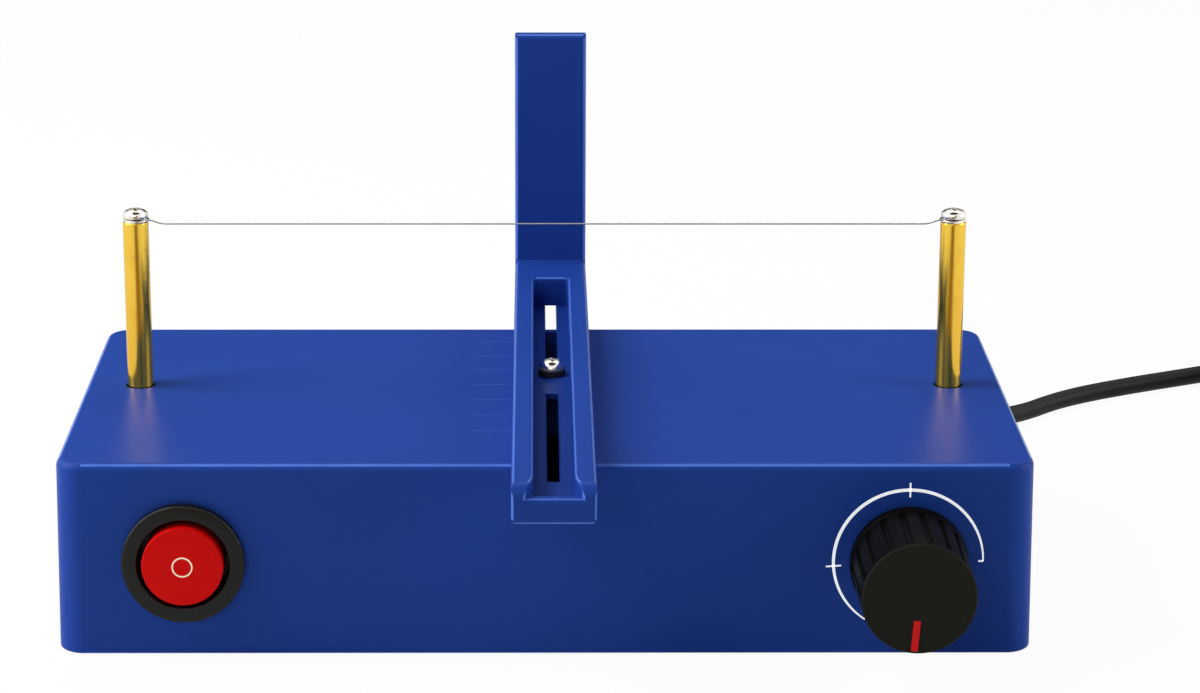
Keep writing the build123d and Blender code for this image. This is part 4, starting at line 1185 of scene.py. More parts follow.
@dataclass(frozen=True)
class CrossScrew:
    """Screw with a rounded or flat head and a cross recess."""

    head_diameter: float
    head_height: float
    rim_height: float
    shank_length: float
    shank_diameter: float = 2.3 * MM
    slot_length: float = 2.6 * MM
    slot_width: float = 0.7 * MM
    slot_depth: float = 0.9 * MM
    wall_slope: float = 0.12 * MM
    floor_fall: float = 0.35
    countersunk: bool = False
    crown_power: float = 2.0
    crown_rows: int = 34
    columns: int = 112
    tip_edge: float = 0.2 * MM
    rim_edge: float = 0.15 * MM
    edge_steps: int = 4
    head_bottom: float = 0.1 * MM
    turn_spread: float = 0.3
    # The head's side is painted in shade below this height, fading out over the run just under it;
    # far below zero leaves it unshaded.
    shade_top: float = -100 * MM
    shade_fade: float = 1.4 * MM
    sharp_angle: float = 40.0

    def outline(self) -> Outline:
        """Half outline of shank and head, with an oval or flat crown.

        Returns:
            The outline, with the head's underside at zero.
        """
        rim = self.head_diameter / 2
        shank = self.shank_diameter / 2
        rise = self.head_height - self.rim_height
        bulge = 2 / self.crown_power
        turns = (QUARTER * k / self.crown_rows for k in range(1, self.crown_rows + 1))
        crown = [
            (rim * max(math.cos(t), 0.0) ** bulge, self.rim_height + rise * math.sin(t) ** bulge)
            for t in turns
        ]
        under = [] if self.countersunk else [(rim, 0.0, self.rim_edge)]
        corners = [
            (0.0, -self.shank_length, 0.0),
            (shank, -self.shank_length, self.tip_edge),
            (shank, 0.0, 0.0),
            *under,
            (rim, self.rim_height, 0.0),
        ]
        return rounded_outline(corners, self.edge_steps) + crown

    def mesh(self, finish: Finish, places: Sequence[Point]) -> Mesh:
        """Screws standing at places, each with the recess that a tree presses into its head and
        marks, with the head's lower side where asked, for painted shade.

        Args:
            finish: The finish that the tree sets.
            places: Where each head's underside sits.

        Returns:
            One mesh of all the screws.
        """
        tree = ShapeTree("cross_recess")
        spots = tree.places(places)
        length, width, depth, slope, fall, bottom, shade, fade, spread = tree.inputs(
            {
                "Slot Length": self.slot_length,
                "Slot Width": self.slot_width,
                "Slot Depth": self.slot_depth,
                "Wall Slope": self.wall_slope,
                "Floor Fall": self.floor_fall,
                "Head Bottom": self.head_bottom,
                "Shade Top": self.shade_top,
                "Shade Fade": self.shade_fade,
                "Turn Spread": self.turn_spread,
            }
        )
        x, y, z = tree.coordinates()
        across, along = abs(x), abs(y)
        first = (across - length / 2).most(along - width / 2)
        second = (along - length / 2).most(across - width / 2)
        slot = 1.0 - first.least(second).step(slope * -1.0, 0.0)
        inside = slot * z.step(bottom, bottom + STEP_RUN)
        sunk = inside * (depth - tree.reach() * fall)
        # Painted shade: the recess and the head below Shade Top are marked dark.
        dark = inside.most(1.0 - z.step(shade - fade, shade))
        marked = tree.add(
            "GeometryNodeStoreNamedAttribute",
            {"data_type": "FLOAT", "domain": "POINT"},
            {"Geometry": tree.geometry, "Name": PAINTED_SHADE, "Value": dark},
        )
        head = tree.moved(marked.outputs[0], tree.vector(0.0, 0.0, sunk * -1.0))
        random = tree.val("FunctionNodeRandomValue", {"data_type": "FLOAT"}, {"Seed": TURN_SEED}, 1)
        turn = tree.vector(0.0, 0.0, random * spread)
        tree.end(tree.copies(spots, head, {"Rotation": turn}), finish)
        return smoothed(tree.run(lathe(self.outline(), self.columns)), self.sharp_angle)

    @classmethod
    def on_nodes(
        cls, nodes: Sequence[str], finish: Finish, head: float, rim: float, **sizes: float
    ) -> Mesh:
        """Round-head screws as wide and long as their nodes.

        Args:
            nodes: The nodes, all of one size and height.
            finish: The screws' finish.
            head: Height of the head.
            rim: Height of its straight rim.
            sizes: Other sizes of the screw.

        Returns:
            One mesh of all the screws.
        """
        low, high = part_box(nodes[0])
        screw = cls(high.x - low.x, head, rim, high.z - low.z - head, **sizes)
        return screw.mesh(finish, [(middle(n).x, middle(n).y, high.z - head) for n in nodes])


# Sub-assemblies


@dataclass
class Casing:
    """Housing, base plate, its screws and its feet."""

    shop: Workshop
    foot_radius: float = 4.5 * MM
    foot_edge: float = 0.35 * MM
    foot_dish: float = 0.25 * MM
    dish_shares: Range = (0.5, 0.62)
    screw_diameter: float = 2.9 * MM
    screw_head: float = 5.6 * MM
    screw_length: float = 12.0 * MM
    screw_slot: Point = (3.2 * MM, 0.75 * MM, 1.1 * MM)
    rear_screw_x: float = 60.0 * MM
    marks: int = 7
    mark_pitch: float = 10.0 * MM
    mark_length: float = 7.6 * MM
    mark_width: float = 0.4 * MM
    mark_depth: float = 0.15 * MM
    mark_gap: float = 0.4 * MM
    mark_play: float = 0.02 * MM

    def build(self) -> None:
        """Make the two mouldings, the scale's lines, the feet and the screws of the base."""
        self.shop.soften("housing", "shell", BLUE_PLASTIC)
        self.shop.soften("base_plate", "base_cover", BLUE_PLASTIC)
        self.scale()
        self.feet()
        self.screws()

    def scale(self) -> None:
        """Paler lines, laid by a tree in the grooves beside the guide: a painted highlight for the
        light that the grooves catch.
        """
        tree = ShapeTree("scale_lines")
        lines, pitch, length, width, thickness = tree.inputs(
            {
                "Lines": self.marks,
                "Pitch": self.mark_pitch,
                "Line Length": self.mark_length - self.mark_play,
                "Line Width": self.mark_width - self.mark_play,
                "Thickness": self.mark_depth,
            }
        )
        sockets = {
            "Count": lines,
            "Start Location": tree.vector(0.0, (lines - 1.0) * pitch * -0.5, 0.0),
            "Offset": tree.vector(0.0, pitch, 0.0),
        }
        row = tree.add("GeometryNodeMeshLine", None, sockets).outputs[0]
        line = tree.block(tree.vector(length, width, thickness))
        tree.end(tree.copies(row, line), SCALE_HIGHLIGHT)
        mesh = tree.run()
        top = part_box("housing")[1].z
        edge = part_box("stop_guide")[0].x - self.mark_gap
        place = (edge - self.mark_length / 2, middle("left_post").y, top - self.mark_depth / 2)
        mesh.transform(Matrix.Translation(place))
        self.shop.piece("scale_lines", mesh, SCALE_HIGHLIGHT, slot="blue_plastic")

    def feet(self) -> None:
        """Four rubber feet with a rounded edge and a dished middle."""
        low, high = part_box("rubber_feet")
        foot = self.foot_radius
        rise = high.z - low.z
        dish, bevel = self.dish_shares
        corners = [
            (0.0, self.foot_dish, 0.0),
            (foot * dish, self.foot_dish, 0.3 * MM),
            (foot * bevel, 0.0, 0.2 * MM),
            (foot, 0.0, self.foot_edge),
            (foot, rise, 0.0),
            (0.0, rise, 0.0),
        ]
        places = [
            (x, y, low.z)
            for x in (low.x + foot, high.x - foot)
            for y in (low.y + foot, high.y - foot)
        ]
        mesh = spread_mesh("feet", rounded_outline(corners), 64, FOOT_RUBBER, places)
        self.shop.piece("feet", mesh, FOOT_RUBBER, ("rubber_feet",))

    def screws(self) -> None:
        """Four countersunk screws in the base, heads down."""
        low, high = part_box("base_screws")
        cone = (self.screw_head - self.screw_diameter) / 2
        slot_length, slot_width, slot_depth = self.screw_slot
        screw = CrossScrew(
            head_diameter=self.screw_head,
            head_height=cone,
            rim_height=cone,
            shank_diameter=self.screw_diameter,
            shank_length=self.screw_length - cone,
            slot_length=slot_length,
            slot_width=slot_width,
            slot_depth=slot_depth,
            countersunk=True,
            turn_spread=math.pi,
        )
        head = self.screw_head / 2
        front_x, rear_x = high.x - head, self.rear_screw_x
        spots = [(-front_x, low.y), (front_x, low.y), (-rear_x, high.y), (rear_x, high.y)]
        places = [(x, -(y + math.copysign(head, -y)), -(low.z + cone)) for x, y in spots]
        mesh = screw.mesh(ZINC_STEEL, places)
        mesh.transform(Facing.DOWN.value)
        self.shop.piece("base_plate_screws", mesh, ZINC_STEEL, ("base_screws",))


@dataclass
class CuttingWire:
    """Two brass posts, a clamp screw on each, and the wire between them."""

    shop: Workshop
    wire_diameter: float = 0.3 * MM
    wire_bend: float = 3.1 * MM
    wire_drop: float = 4.9 * MM
    wire_straight: float = 7.5 * MM
    loop_points: int = 14
    loop_sweep: float = math.radians(300.0)
    post_edge: float = 0.25 * MM
    stud_radius: float = 2.0 * MM
    stud_length: float = 11.4 * MM
    stud_edge: float = 0.3 * MM
    bore_radius: float = 1.25 * MM
    bore_depth: float = 9.0 * MM
    head_height: float = 1.8 * MM
    head_rim: float = 0.5 * MM
    washer_hole: float = 1.45 * MM
    washer_edge: float = 0.12 * MM
    columns: int = 96

    def build(self) -> None:
        """Make the posts, the washers, the screws and the wire."""
        for name in ("left_post", "right_post"):
            self.post(name)
        self.washers()
        nodes = ("left_wire_screw", "right_wire_screw")
        mesh = CrossScrew.on_nodes(nodes, BRIGHT_NICKEL, self.head_height, self.head_rim)
        self.shop.piece("wire_screws", mesh, BRIGHT_NICKEL, nodes)
        self.wire()

    def washers(self) -> None:
        """A washer on each post, under the wire."""
        low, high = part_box("wire_washers")
        rise = high.z - low.z
        rim = (high.y - low.y) / 2
        hole, edge = self.washer_hole, self.washer_edge
        corners = [
            (hole, rise / 2, 0.0),
            (hole, 0.0, edge),
            (rim, 0.0, edge),
            (rim, rise, edge),
            (hole, rise, edge),
            (hole, rise / 2, 0.0),
        ]
        places = [(x, low.y + rim, low.z) for x in (low.x + rim, high.x - rim)]
        outline = rounded_outline(corners)
        mesh = spread_mesh("washers", outline, self.columns, BRIGHT_NICKEL, places)
        self.shop.piece("post_top_washers", mesh, BRIGHT_NICKEL, ("wire_washers",))

    def post(self, node: str) -> None:
        """One post: rod, stud below, threaded bore on top.

        Args:
            node: The post's node.
        """
        low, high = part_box(node)
        rod = (high.x - low.x) / 2
        rise = high.z - low.z
        floor = rise - self.bore_depth
        corners = [
            (0.0, 0.0, 0.0),
            (self.stud_radius, 0.0, self.stud_edge),
            (self.stud_radius, self.stud_length, 0.0),
            (rod, self.stud_length, 0.0),
            (rod, rise, self.post_edge),
            (self.bore_radius, rise, 0.0),
            (self.bore_radius, floor, 0.0),
            (0.0, floor, 0.0),
        ]
        spot = middle(node)
        mesh = turned(rounded_outline(corners), self.columns, Facing.UP.at(spot.x, spot.y, low.z))
        self.shop.piece(f"{node}_rod", mesh, POST_BRASS, (node,))

    def loop(self, side: int, reach: float, clamp_z: float) -> list[Point]:
        """Control points of the loop round one screw, from its free end to the run.

        Args:
            side: -1 for the left post and 1 for the right one.
            reach: The loop's radius.
            clamp_z: Its height.

        Returns:
            The points.
        """
        spot = middle("left_post" if side < 0 else "right_post")
        outset = reach / math.cos(math.pi / self.loop_points)
        count = round(self.loop_points * self.loop_sweep / TURN)
        turns = (self.loop_sweep * (1 - (k + 0.5) / count) for k in range(count))
        return [
            (spot.x + side * outset * math.sin(t), spot.y - outset * math.cos(t), clamp_z)
            for t in turns
        ]

    def wire(self) -> None:
        """One wire with a loop under each screw and a small dip past each post."""
        low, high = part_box("hot_wire")
        radius = self.wire_diameter / 2
        clamp_z, run_z = high.z - radius, low.z + radius
        left, right = middle("left_post"), middle("right_post")
        reach = left.y - low.y - radius
        run_y = low.y + radius
        points = self.loop(-1, reach, clamp_z)
        points += [
            (left.x, run_y, clamp_z),
            (left.x + self.wire_bend, run_y, clamp_z),
            (left.x + self.wire_drop, run_y, run_z),
            (left.x + self.wire_straight, run_y, run_z),
            (0.0, run_y, run_z),
            (right.x - self.wire_straight, run_y, run_z),
            (right.x - self.wire_drop, run_y, run_z),
            (right.x - self.wire_bend, run_y, clamp_z),
            (right.x, run_y, clamp_z),
        ]
        points += reversed(self.loop(1, reach, clamp_z))
        wire = tube_curve("cutting_wire", points, self.wire_diameter, resolution=6, sides=2)
        self.shop.fit(wire, RESISTANCE_WIRE, ("hot_wire",))


@dataclass
class StopGuide:
    """The sliding guide and its clamp screw."""

    shop: Workshop
    head_height: float = 3.2 * MM
    head_rim: float = 1.0 * MM
    # The clamp head is painted in shade low on its side, fading out up to this height.
    head_shade: float = 2.1 * MM
    head_fade: float = 1.2 * MM
    head_power: float = 2.2
    slot_depth: float = 1.1 * MM
    bar_height: float = 7.1 * MM
    nose_radius: float = 2.4 * MM
    nose_cuts: int = 8
    lip_corner: float = 0.9 * MM
    lip_cuts: int = 6
    # Rounds longer than this on the guide get the painted edge highlight.
    highlight_rule: HighlightRule = HighlightRule(run=0.6 * MM)

    def build(self) -> None:
        """Make the guide and its clamp screw."""
        self.shop.soften(
            "stop_guide", "slide_guide", BLUE_PLASTIC, Body.GUIDE, self.highlight_rule, self.round_ends
        )
        nodes = ("guide_screw",)
        mesh = CrossScrew.on_nodes(
            nodes,
            BRIGHT_NICKEL,
            self.head_height,
            self.head_rim,
            slot_depth=self.slot_depth,
            crown_power=self.head_power,
            shade_top=self.head_shade,
            shade_fade=self.head_fade,
        )
        self.shop.piece("clamp_screw", mesh, BRIGHT_NICKEL, nodes)

    def round_ends(self, shape: Shape) -> None:
        """Round the rails' front ends, and the lower corners of the lip that hangs below them.

        Args:
            shape: The guide's shape in work.
        """
        low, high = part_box("stop_guide")
        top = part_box("housing")[1].z + self.bar_height
        cut_rows(shape, 1, low.y, self.nose_radius, self.nose_cuts)
        for vert in shape.verts:
            run = self.nose_radius - (vert.co.y - low.y)
            if run > 0:
                vert.co.z = min(vert.co.z, top - round_fall(self.nose_radius, run))
        centre = (low.x + high.x) / 2
        half = (high.x - low.x) / 2
        cut_rows(shape, 2, low.z, self.lip_corner, self.lip_cuts)
        for vert in shape.verts:
            run = self.lip_corner - (vert.co.z - low.z)
            if run > 0:
                narrow = half - round_fall(self.lip_corner, run)
                vert.co.x = centre + (vert.co.x - centre) * narrow / half


@dataclass
class PushSwitch:
    """Round switch with a red button."""

    shop: Workshop
    bezel_thickness: float = 2.0 * MM
    bezel_edge: float = 0.35 * MM
    bezel_fall: float = 0.15 * MM
    barrel_radius: float = 9.9 * MM
    well_gap: float = 0.85 * MM
    well_depth: float = 7.0 * MM
    stem_radius: float = 3.0 * MM
    stem_gap: float = 0.3 * MM
    stem_length: float = 5.0 * MM
    stem_hole: float = 7.9 * MM
    button_edge: float = 0.25 * MM
    button_play: float = 0.15 * MM
    crown: float = 0.12 * MM
    crown_rows: int = 16
    ring_radius: float = 1.8 * MM
    ring_line: float = 0.27 * MM
    ring_columns: int = 96
    ink: float = 0.03 * MM
    columns: int = 160

    def build(self) -> None:
        """Make the bezel, the button and its printed ring."""
        self.shop.dress(BLACK_PLASTIC, "switch_nut")
        self.body()
        self.button()

    def body(self) -> None:
        """Bezel, barrel and the well that the button moves in."""
        low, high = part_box("switch_body")
        cap_low, cap_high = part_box("switch_button")
        rim = (high.x - low.x) / 2
        well = (cap_high.x - cap_low.x) / 2 + self.well_gap
        back = -(high.y - low.y - self.bezel_thickness)
        hole = self.stem_radius + self.stem_gap
        end = -self.well_depth - self.stem_hole
        corners = [
            (0.0, back, 0.0),
            (self.barrel_radius, back, 0.4 * MM),
            (self.barrel_radius, 0.0, 0.0),
            (rim, 0.0, 0.1 * MM),
            (rim, self.bezel_thickness - self.bezel_fall, self.bezel_edge),
            (well, self.bezel_thickness, 0.3 * MM),
            (well, -self.well_depth, 0.0),
            (hole, -self.well_depth, 0.0),
            (hole, end, 0.0),
            (0.0, end, 0.0),
        ]
        spot = middle("switch_body")
        place = Facing.FRONT.at(spot.x, low.y + self.bezel_thickness, spot.z)
        mesh = turned(rounded_outline(corners), self.columns, place)
        self.shop.piece("switch_bezel", mesh, BEZEL_BLACK, ("switch_body",), "black_plastic")

    def button(self) -> None:
        """Slightly crowned cap on its stem, and the ring printed on it."""
        low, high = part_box("switch_button")
        rim = (high.x - low.x) / 2 - self.button_play
        back = -(high.y - low.y)
        face = rim - self.button_edge
        shares = (1 - k / self.crown_rows for k in range(1, self.crown_rows + 1))
        dome = [(face * share, -self.crown * share**2) for share in shares]
        corners = [
            (0.0, back, 0.0),
            (self.stem_radius, back, 0.3 * MM),
            (self.stem_radius, back + self.stem_length, 0.0),
            (rim, back + self.stem_length, 0.2 * MM),
            (rim, -self.crown, self.button_edge),
            (face, -self.crown, 0.0),
        ]
        spot = middle("switch_button")
        place = Facing.FRONT.at(spot.x, low.y, spot.z)
        cap = turned(rounded_outline(corners) + dome, self.columns, place)
        self.shop.piece("button_cap", cap, RED_PLASTIC, ("switch_button",), body=Body.BUTTON)
        inner, outer = self.ring_radius - self.ring_line / 2, self.ring_radius + self.ring_line / 2
        foot = -self.crown * (outer / face) ** 2 - self.ink
        band = [(inner, foot), (outer, foot), (outer, self.ink), (inner, self.ink), (inner, foot)]
        ring = turned(band, self.ring_columns, place)
        self.shop.piece("button_ring", ring, CREAM_INK, (), "red_plastic", Body.BUTTON)


@dataclass
class HeatControl:
    """Fluted knob, its pointer and the printed dial."""

    shop: Workshop
    skirt_radius: float = 10.9 * MM
    skirt_height: float = 2.4 * MM
    skirt_edge: float = 0.7 * MM
    grip_radius: float = 10.6 * MM
    grip_taper: float = math.radians(0.6)
    cap_height: float = 1.2 * MM
    cap_edge: float = 0.4 * MM
    cap_rim: float = 0.55 * MM
    cap_recess: float = 0.12 * MM
    hollow_radius: float = 8.0 * MM
    hollow_depth: float = 7.5 * MM
    bore_radius: float = 3.05 * MM
    bore_depth: float = 16.7 * MM
    flutes: int = 18
    flute_width: float = 1.1 * MM
    flute_depth: float = 0.6 * MM
    flute_edge: float = 0.14 * MM
    flute_inset: float = 0.3 * MM
    end_run: float = 0.5 * MM
    end_rows: int = 6
    columns_per_flute: int = 24
    panel_gap: float = 0.8 * MM
    arc_radius: float = 13.8 * MM
    arc_line: float = 0.6 * MM
    arc_start: float = math.radians(-124.0)
    arc_thinning: float = 0.55
    arc_points: int = 145
    marks: int = 3
    mark_length: float = 2.8 * MM
    mark_width: float = 0.3 * MM
    mark_drift: float = math.radians(4.0)
    hook_share: float = 0.32
    ink: float = 0.03 * MM

    def build(self) -> None:
        """Make the knob and the dial, and dress the pointer."""
        self.knob()
        self.dial()
        self.shop.dress(POINTER_RED, "knob_pointer")

    def outline(self, height: float, tip: float) -> Outline:
        """Half outline of the knob: bore, hollow, skirt, tapered grip and recessed cap.

        Args:
            height: The knob's height.
            tip: Radius of the grip's front end.

        Returns:
            The outline, with the skirt's underside at zero.
        """
        rows = range(self.end_rows + 1)
        run = self.end_run
        ends = [self.skirt_height + run * k / self.end_rows for k in rows[1:]]
        ends += [height - self.cap_height - run + run * k / self.end_rows for k in rows]
        slope = math.tan(self.grip_taper)
        grip = [(self.grip_radius - (z - self.skirt_height) * slope, z) for z in ends]
        back = [
            (0.0, self.bore_depth, 0.0),
            (self.bore_radius, self.bore_depth, 0.0),
            (self.bore_radius, self.hollow_depth, 0.0),
            (self.hollow_radius, self.hollow_depth, 0.3 * MM),
            (self.hollow_radius, 0.0, 0.2 * MM),
            (self.skirt_radius, 0.0, 0.15 * MM),
            (self.skirt_radius, self.skirt_height, self.skirt_edge),
            (self.grip_radius, self.skirt_height, 0.0),
        ]
        front = [
            (*grip[-1], 0.0),
            (tip, height, self.cap_edge),
            (tip - self.cap_rim, height, 0.08 * MM),
            (tip - self.cap_rim, height - self.cap_recess, 0.05 * MM),
            (0.0, height - self.cap_recess, 0.0),
        ]
        return rounded_outline(back) + grip[:-1] + rounded_outline(front)

    def flute_tree(self, end: float, radius: float, finish: Finish) -> ShapeTree:
        """Tree that presses straight flutes into the outside of the upright knob.

        Args:
            end: Height of their front ends.
            radius: Radius beyond which they are pressed in.
            finish: What the tree sets on the knob.

        Returns:
            The tree.
        """
        tree = ShapeTree("knob_flutes")
        flutes, width, depth, edge, low, high, outside = tree.inputs(
            {
                "Flutes": float(self.flutes),
                "Flute Width": self.flute_width,
                "Flute Depth": self.flute_depth,
                "Edge Run": self.flute_edge,
                "Low End": self.skirt_height,
                "High End": end,
                "Least Radius": radius,
            }
        )
        x, y, z = tree.coordinates()
        share = tree.math("ARCTAN2", y, x) * flutes / TURN
        reach = tree.reach().most(NEAR_AXIS)
        aside = abs(share - tree.math("ROUND", share)) * reach * TURN / flutes
        across = 1.0 - aside.step(width / 2 - edge, width / 2 + edge)
        along = z.step(low, low + edge) * (1.0 - z.step(high - edge, high))
        tree.end(tree.pressed(depth * across * along, outside), finish)
        return tree

    def knob(self) -> None:
        """The knob, with flutes pressed into its grip."""
        low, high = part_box("heat_knob")
        height = high.y - low.y
        tip = self.grip_radius - (height - self.skirt_height) * math.tan(self.grip_taper)
        cap_y = low.y + 2 * self.cap_recess
        finish = KnobPlastic("knob_black", *KNOB_TONES, 0.4, 0.025, cap_y=cap_y)
        tree = self.flute_tree(height - self.cap_height, tip - self.flute_inset, finish)
        plain = lathe(self.outline(height, tip), self.flutes * self.columns_per_flute)
        mesh = smoothed(tree.run(plain))
        spot = middle("heat_knob")
        mesh.transform(Facing.FRONT.at(spot.x, high.y, spot.z))
        self.shop.piece("knob_grip", mesh, finish, ("heat_knob",), "black_plastic", Body.KNOB)

    def dial_tree(self) -> ShapeTree:
        """Tree that bends a thin bar into the dial's arc and sets short marks across it.

        Returns:
            The tree.
        """
        tree = ShapeTree("dial_print")
        radius, first, sweep, width, thinning, thickness = tree.inputs(
            {
                "Arc Radius": self.arc_radius,
                "First Angle": self.arc_start,
                "Sweep": -TURN - self.arc_start,
                "Line Width": self.arc_line,
                "End Thinning": self.arc_thinning,
                "Ink Thickness": 2 * self.ink,
            }
        )
        marks, start, drift, step, mark_length, mark_width, hook_share = tree.inputs(
            {
                "Marks": self.marks,
                "First Mark": 2 * QUARTER,
                "First Mark Drift": self.mark_drift,
                "Mark Step": -QUARTER,
                "Mark Length": self.mark_length,
                "Mark Width": self.mark_width,
                "Hook Share": self.hook_share,
            }
        )
        cuts = {"Vertices X": self.arc_points, "Vertices Y": 2, "Vertices Z": 2}
        x, y, z = tree.coordinates()
        line = width * (1.0 - thinning * tree.math("POWER", abs(x) * 2.0, 3.0))
        bent = tree.polar(radius + y * line, first + sweep * (x + 0.5), z * thickness)
        arc = tree.moved(tree.block((1.0, 1.0, 1.0), cuts), bent, "Position")
        index = tree.val("GeometryNodeInputIndex")
        turn = start + step * index + drift * (1.0 - index).most(0.0)
        hooked = tree.math("GREATER_THAN", index, marks - 1.5)
        share = 1.0 - hooked * (1.0 - hook_share)
        where = tree.polar(radius - hooked * hook_share * mark_length / 2, turn, 0.0)
        dots = tree.add("GeometryNodeMeshLine", None, {"Count": marks, "Offset": (0.0, 0.0, 0.0)})
        set_marks = tree.copies(
            tree.moved(dots.outputs[0], where, "Position"),
            tree.block(tree.vector(mark_length, mark_width, thickness)),
            {"Rotation": tree.vector(0.0, 0.0, turn), "Scale": tree.vector(share, 1.0, 1.0)},
        )
        both = tree.add("GeometryNodeJoinGeometry")
        for source in (arc, set_marks):
            tree.tree.links.new(source, both.inputs[0])
        tree.end(both.outputs[0], WHITE_INK)
        return tree

    def dial(self) -> None:
        """Arc round the knob from lower left to right, with two marks and a hook at its end."""
        mesh = smoothed(self.dial_tree().run())
        spot = middle("heat_knob")
        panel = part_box("heat_knob")[1].y + self.panel_gap
        mesh.transform(Facing.FRONT.at(spot.x, panel, spot.z))
        self.shop.piece("dial_print", mesh, WHITE_INK, slot="blue_plastic")


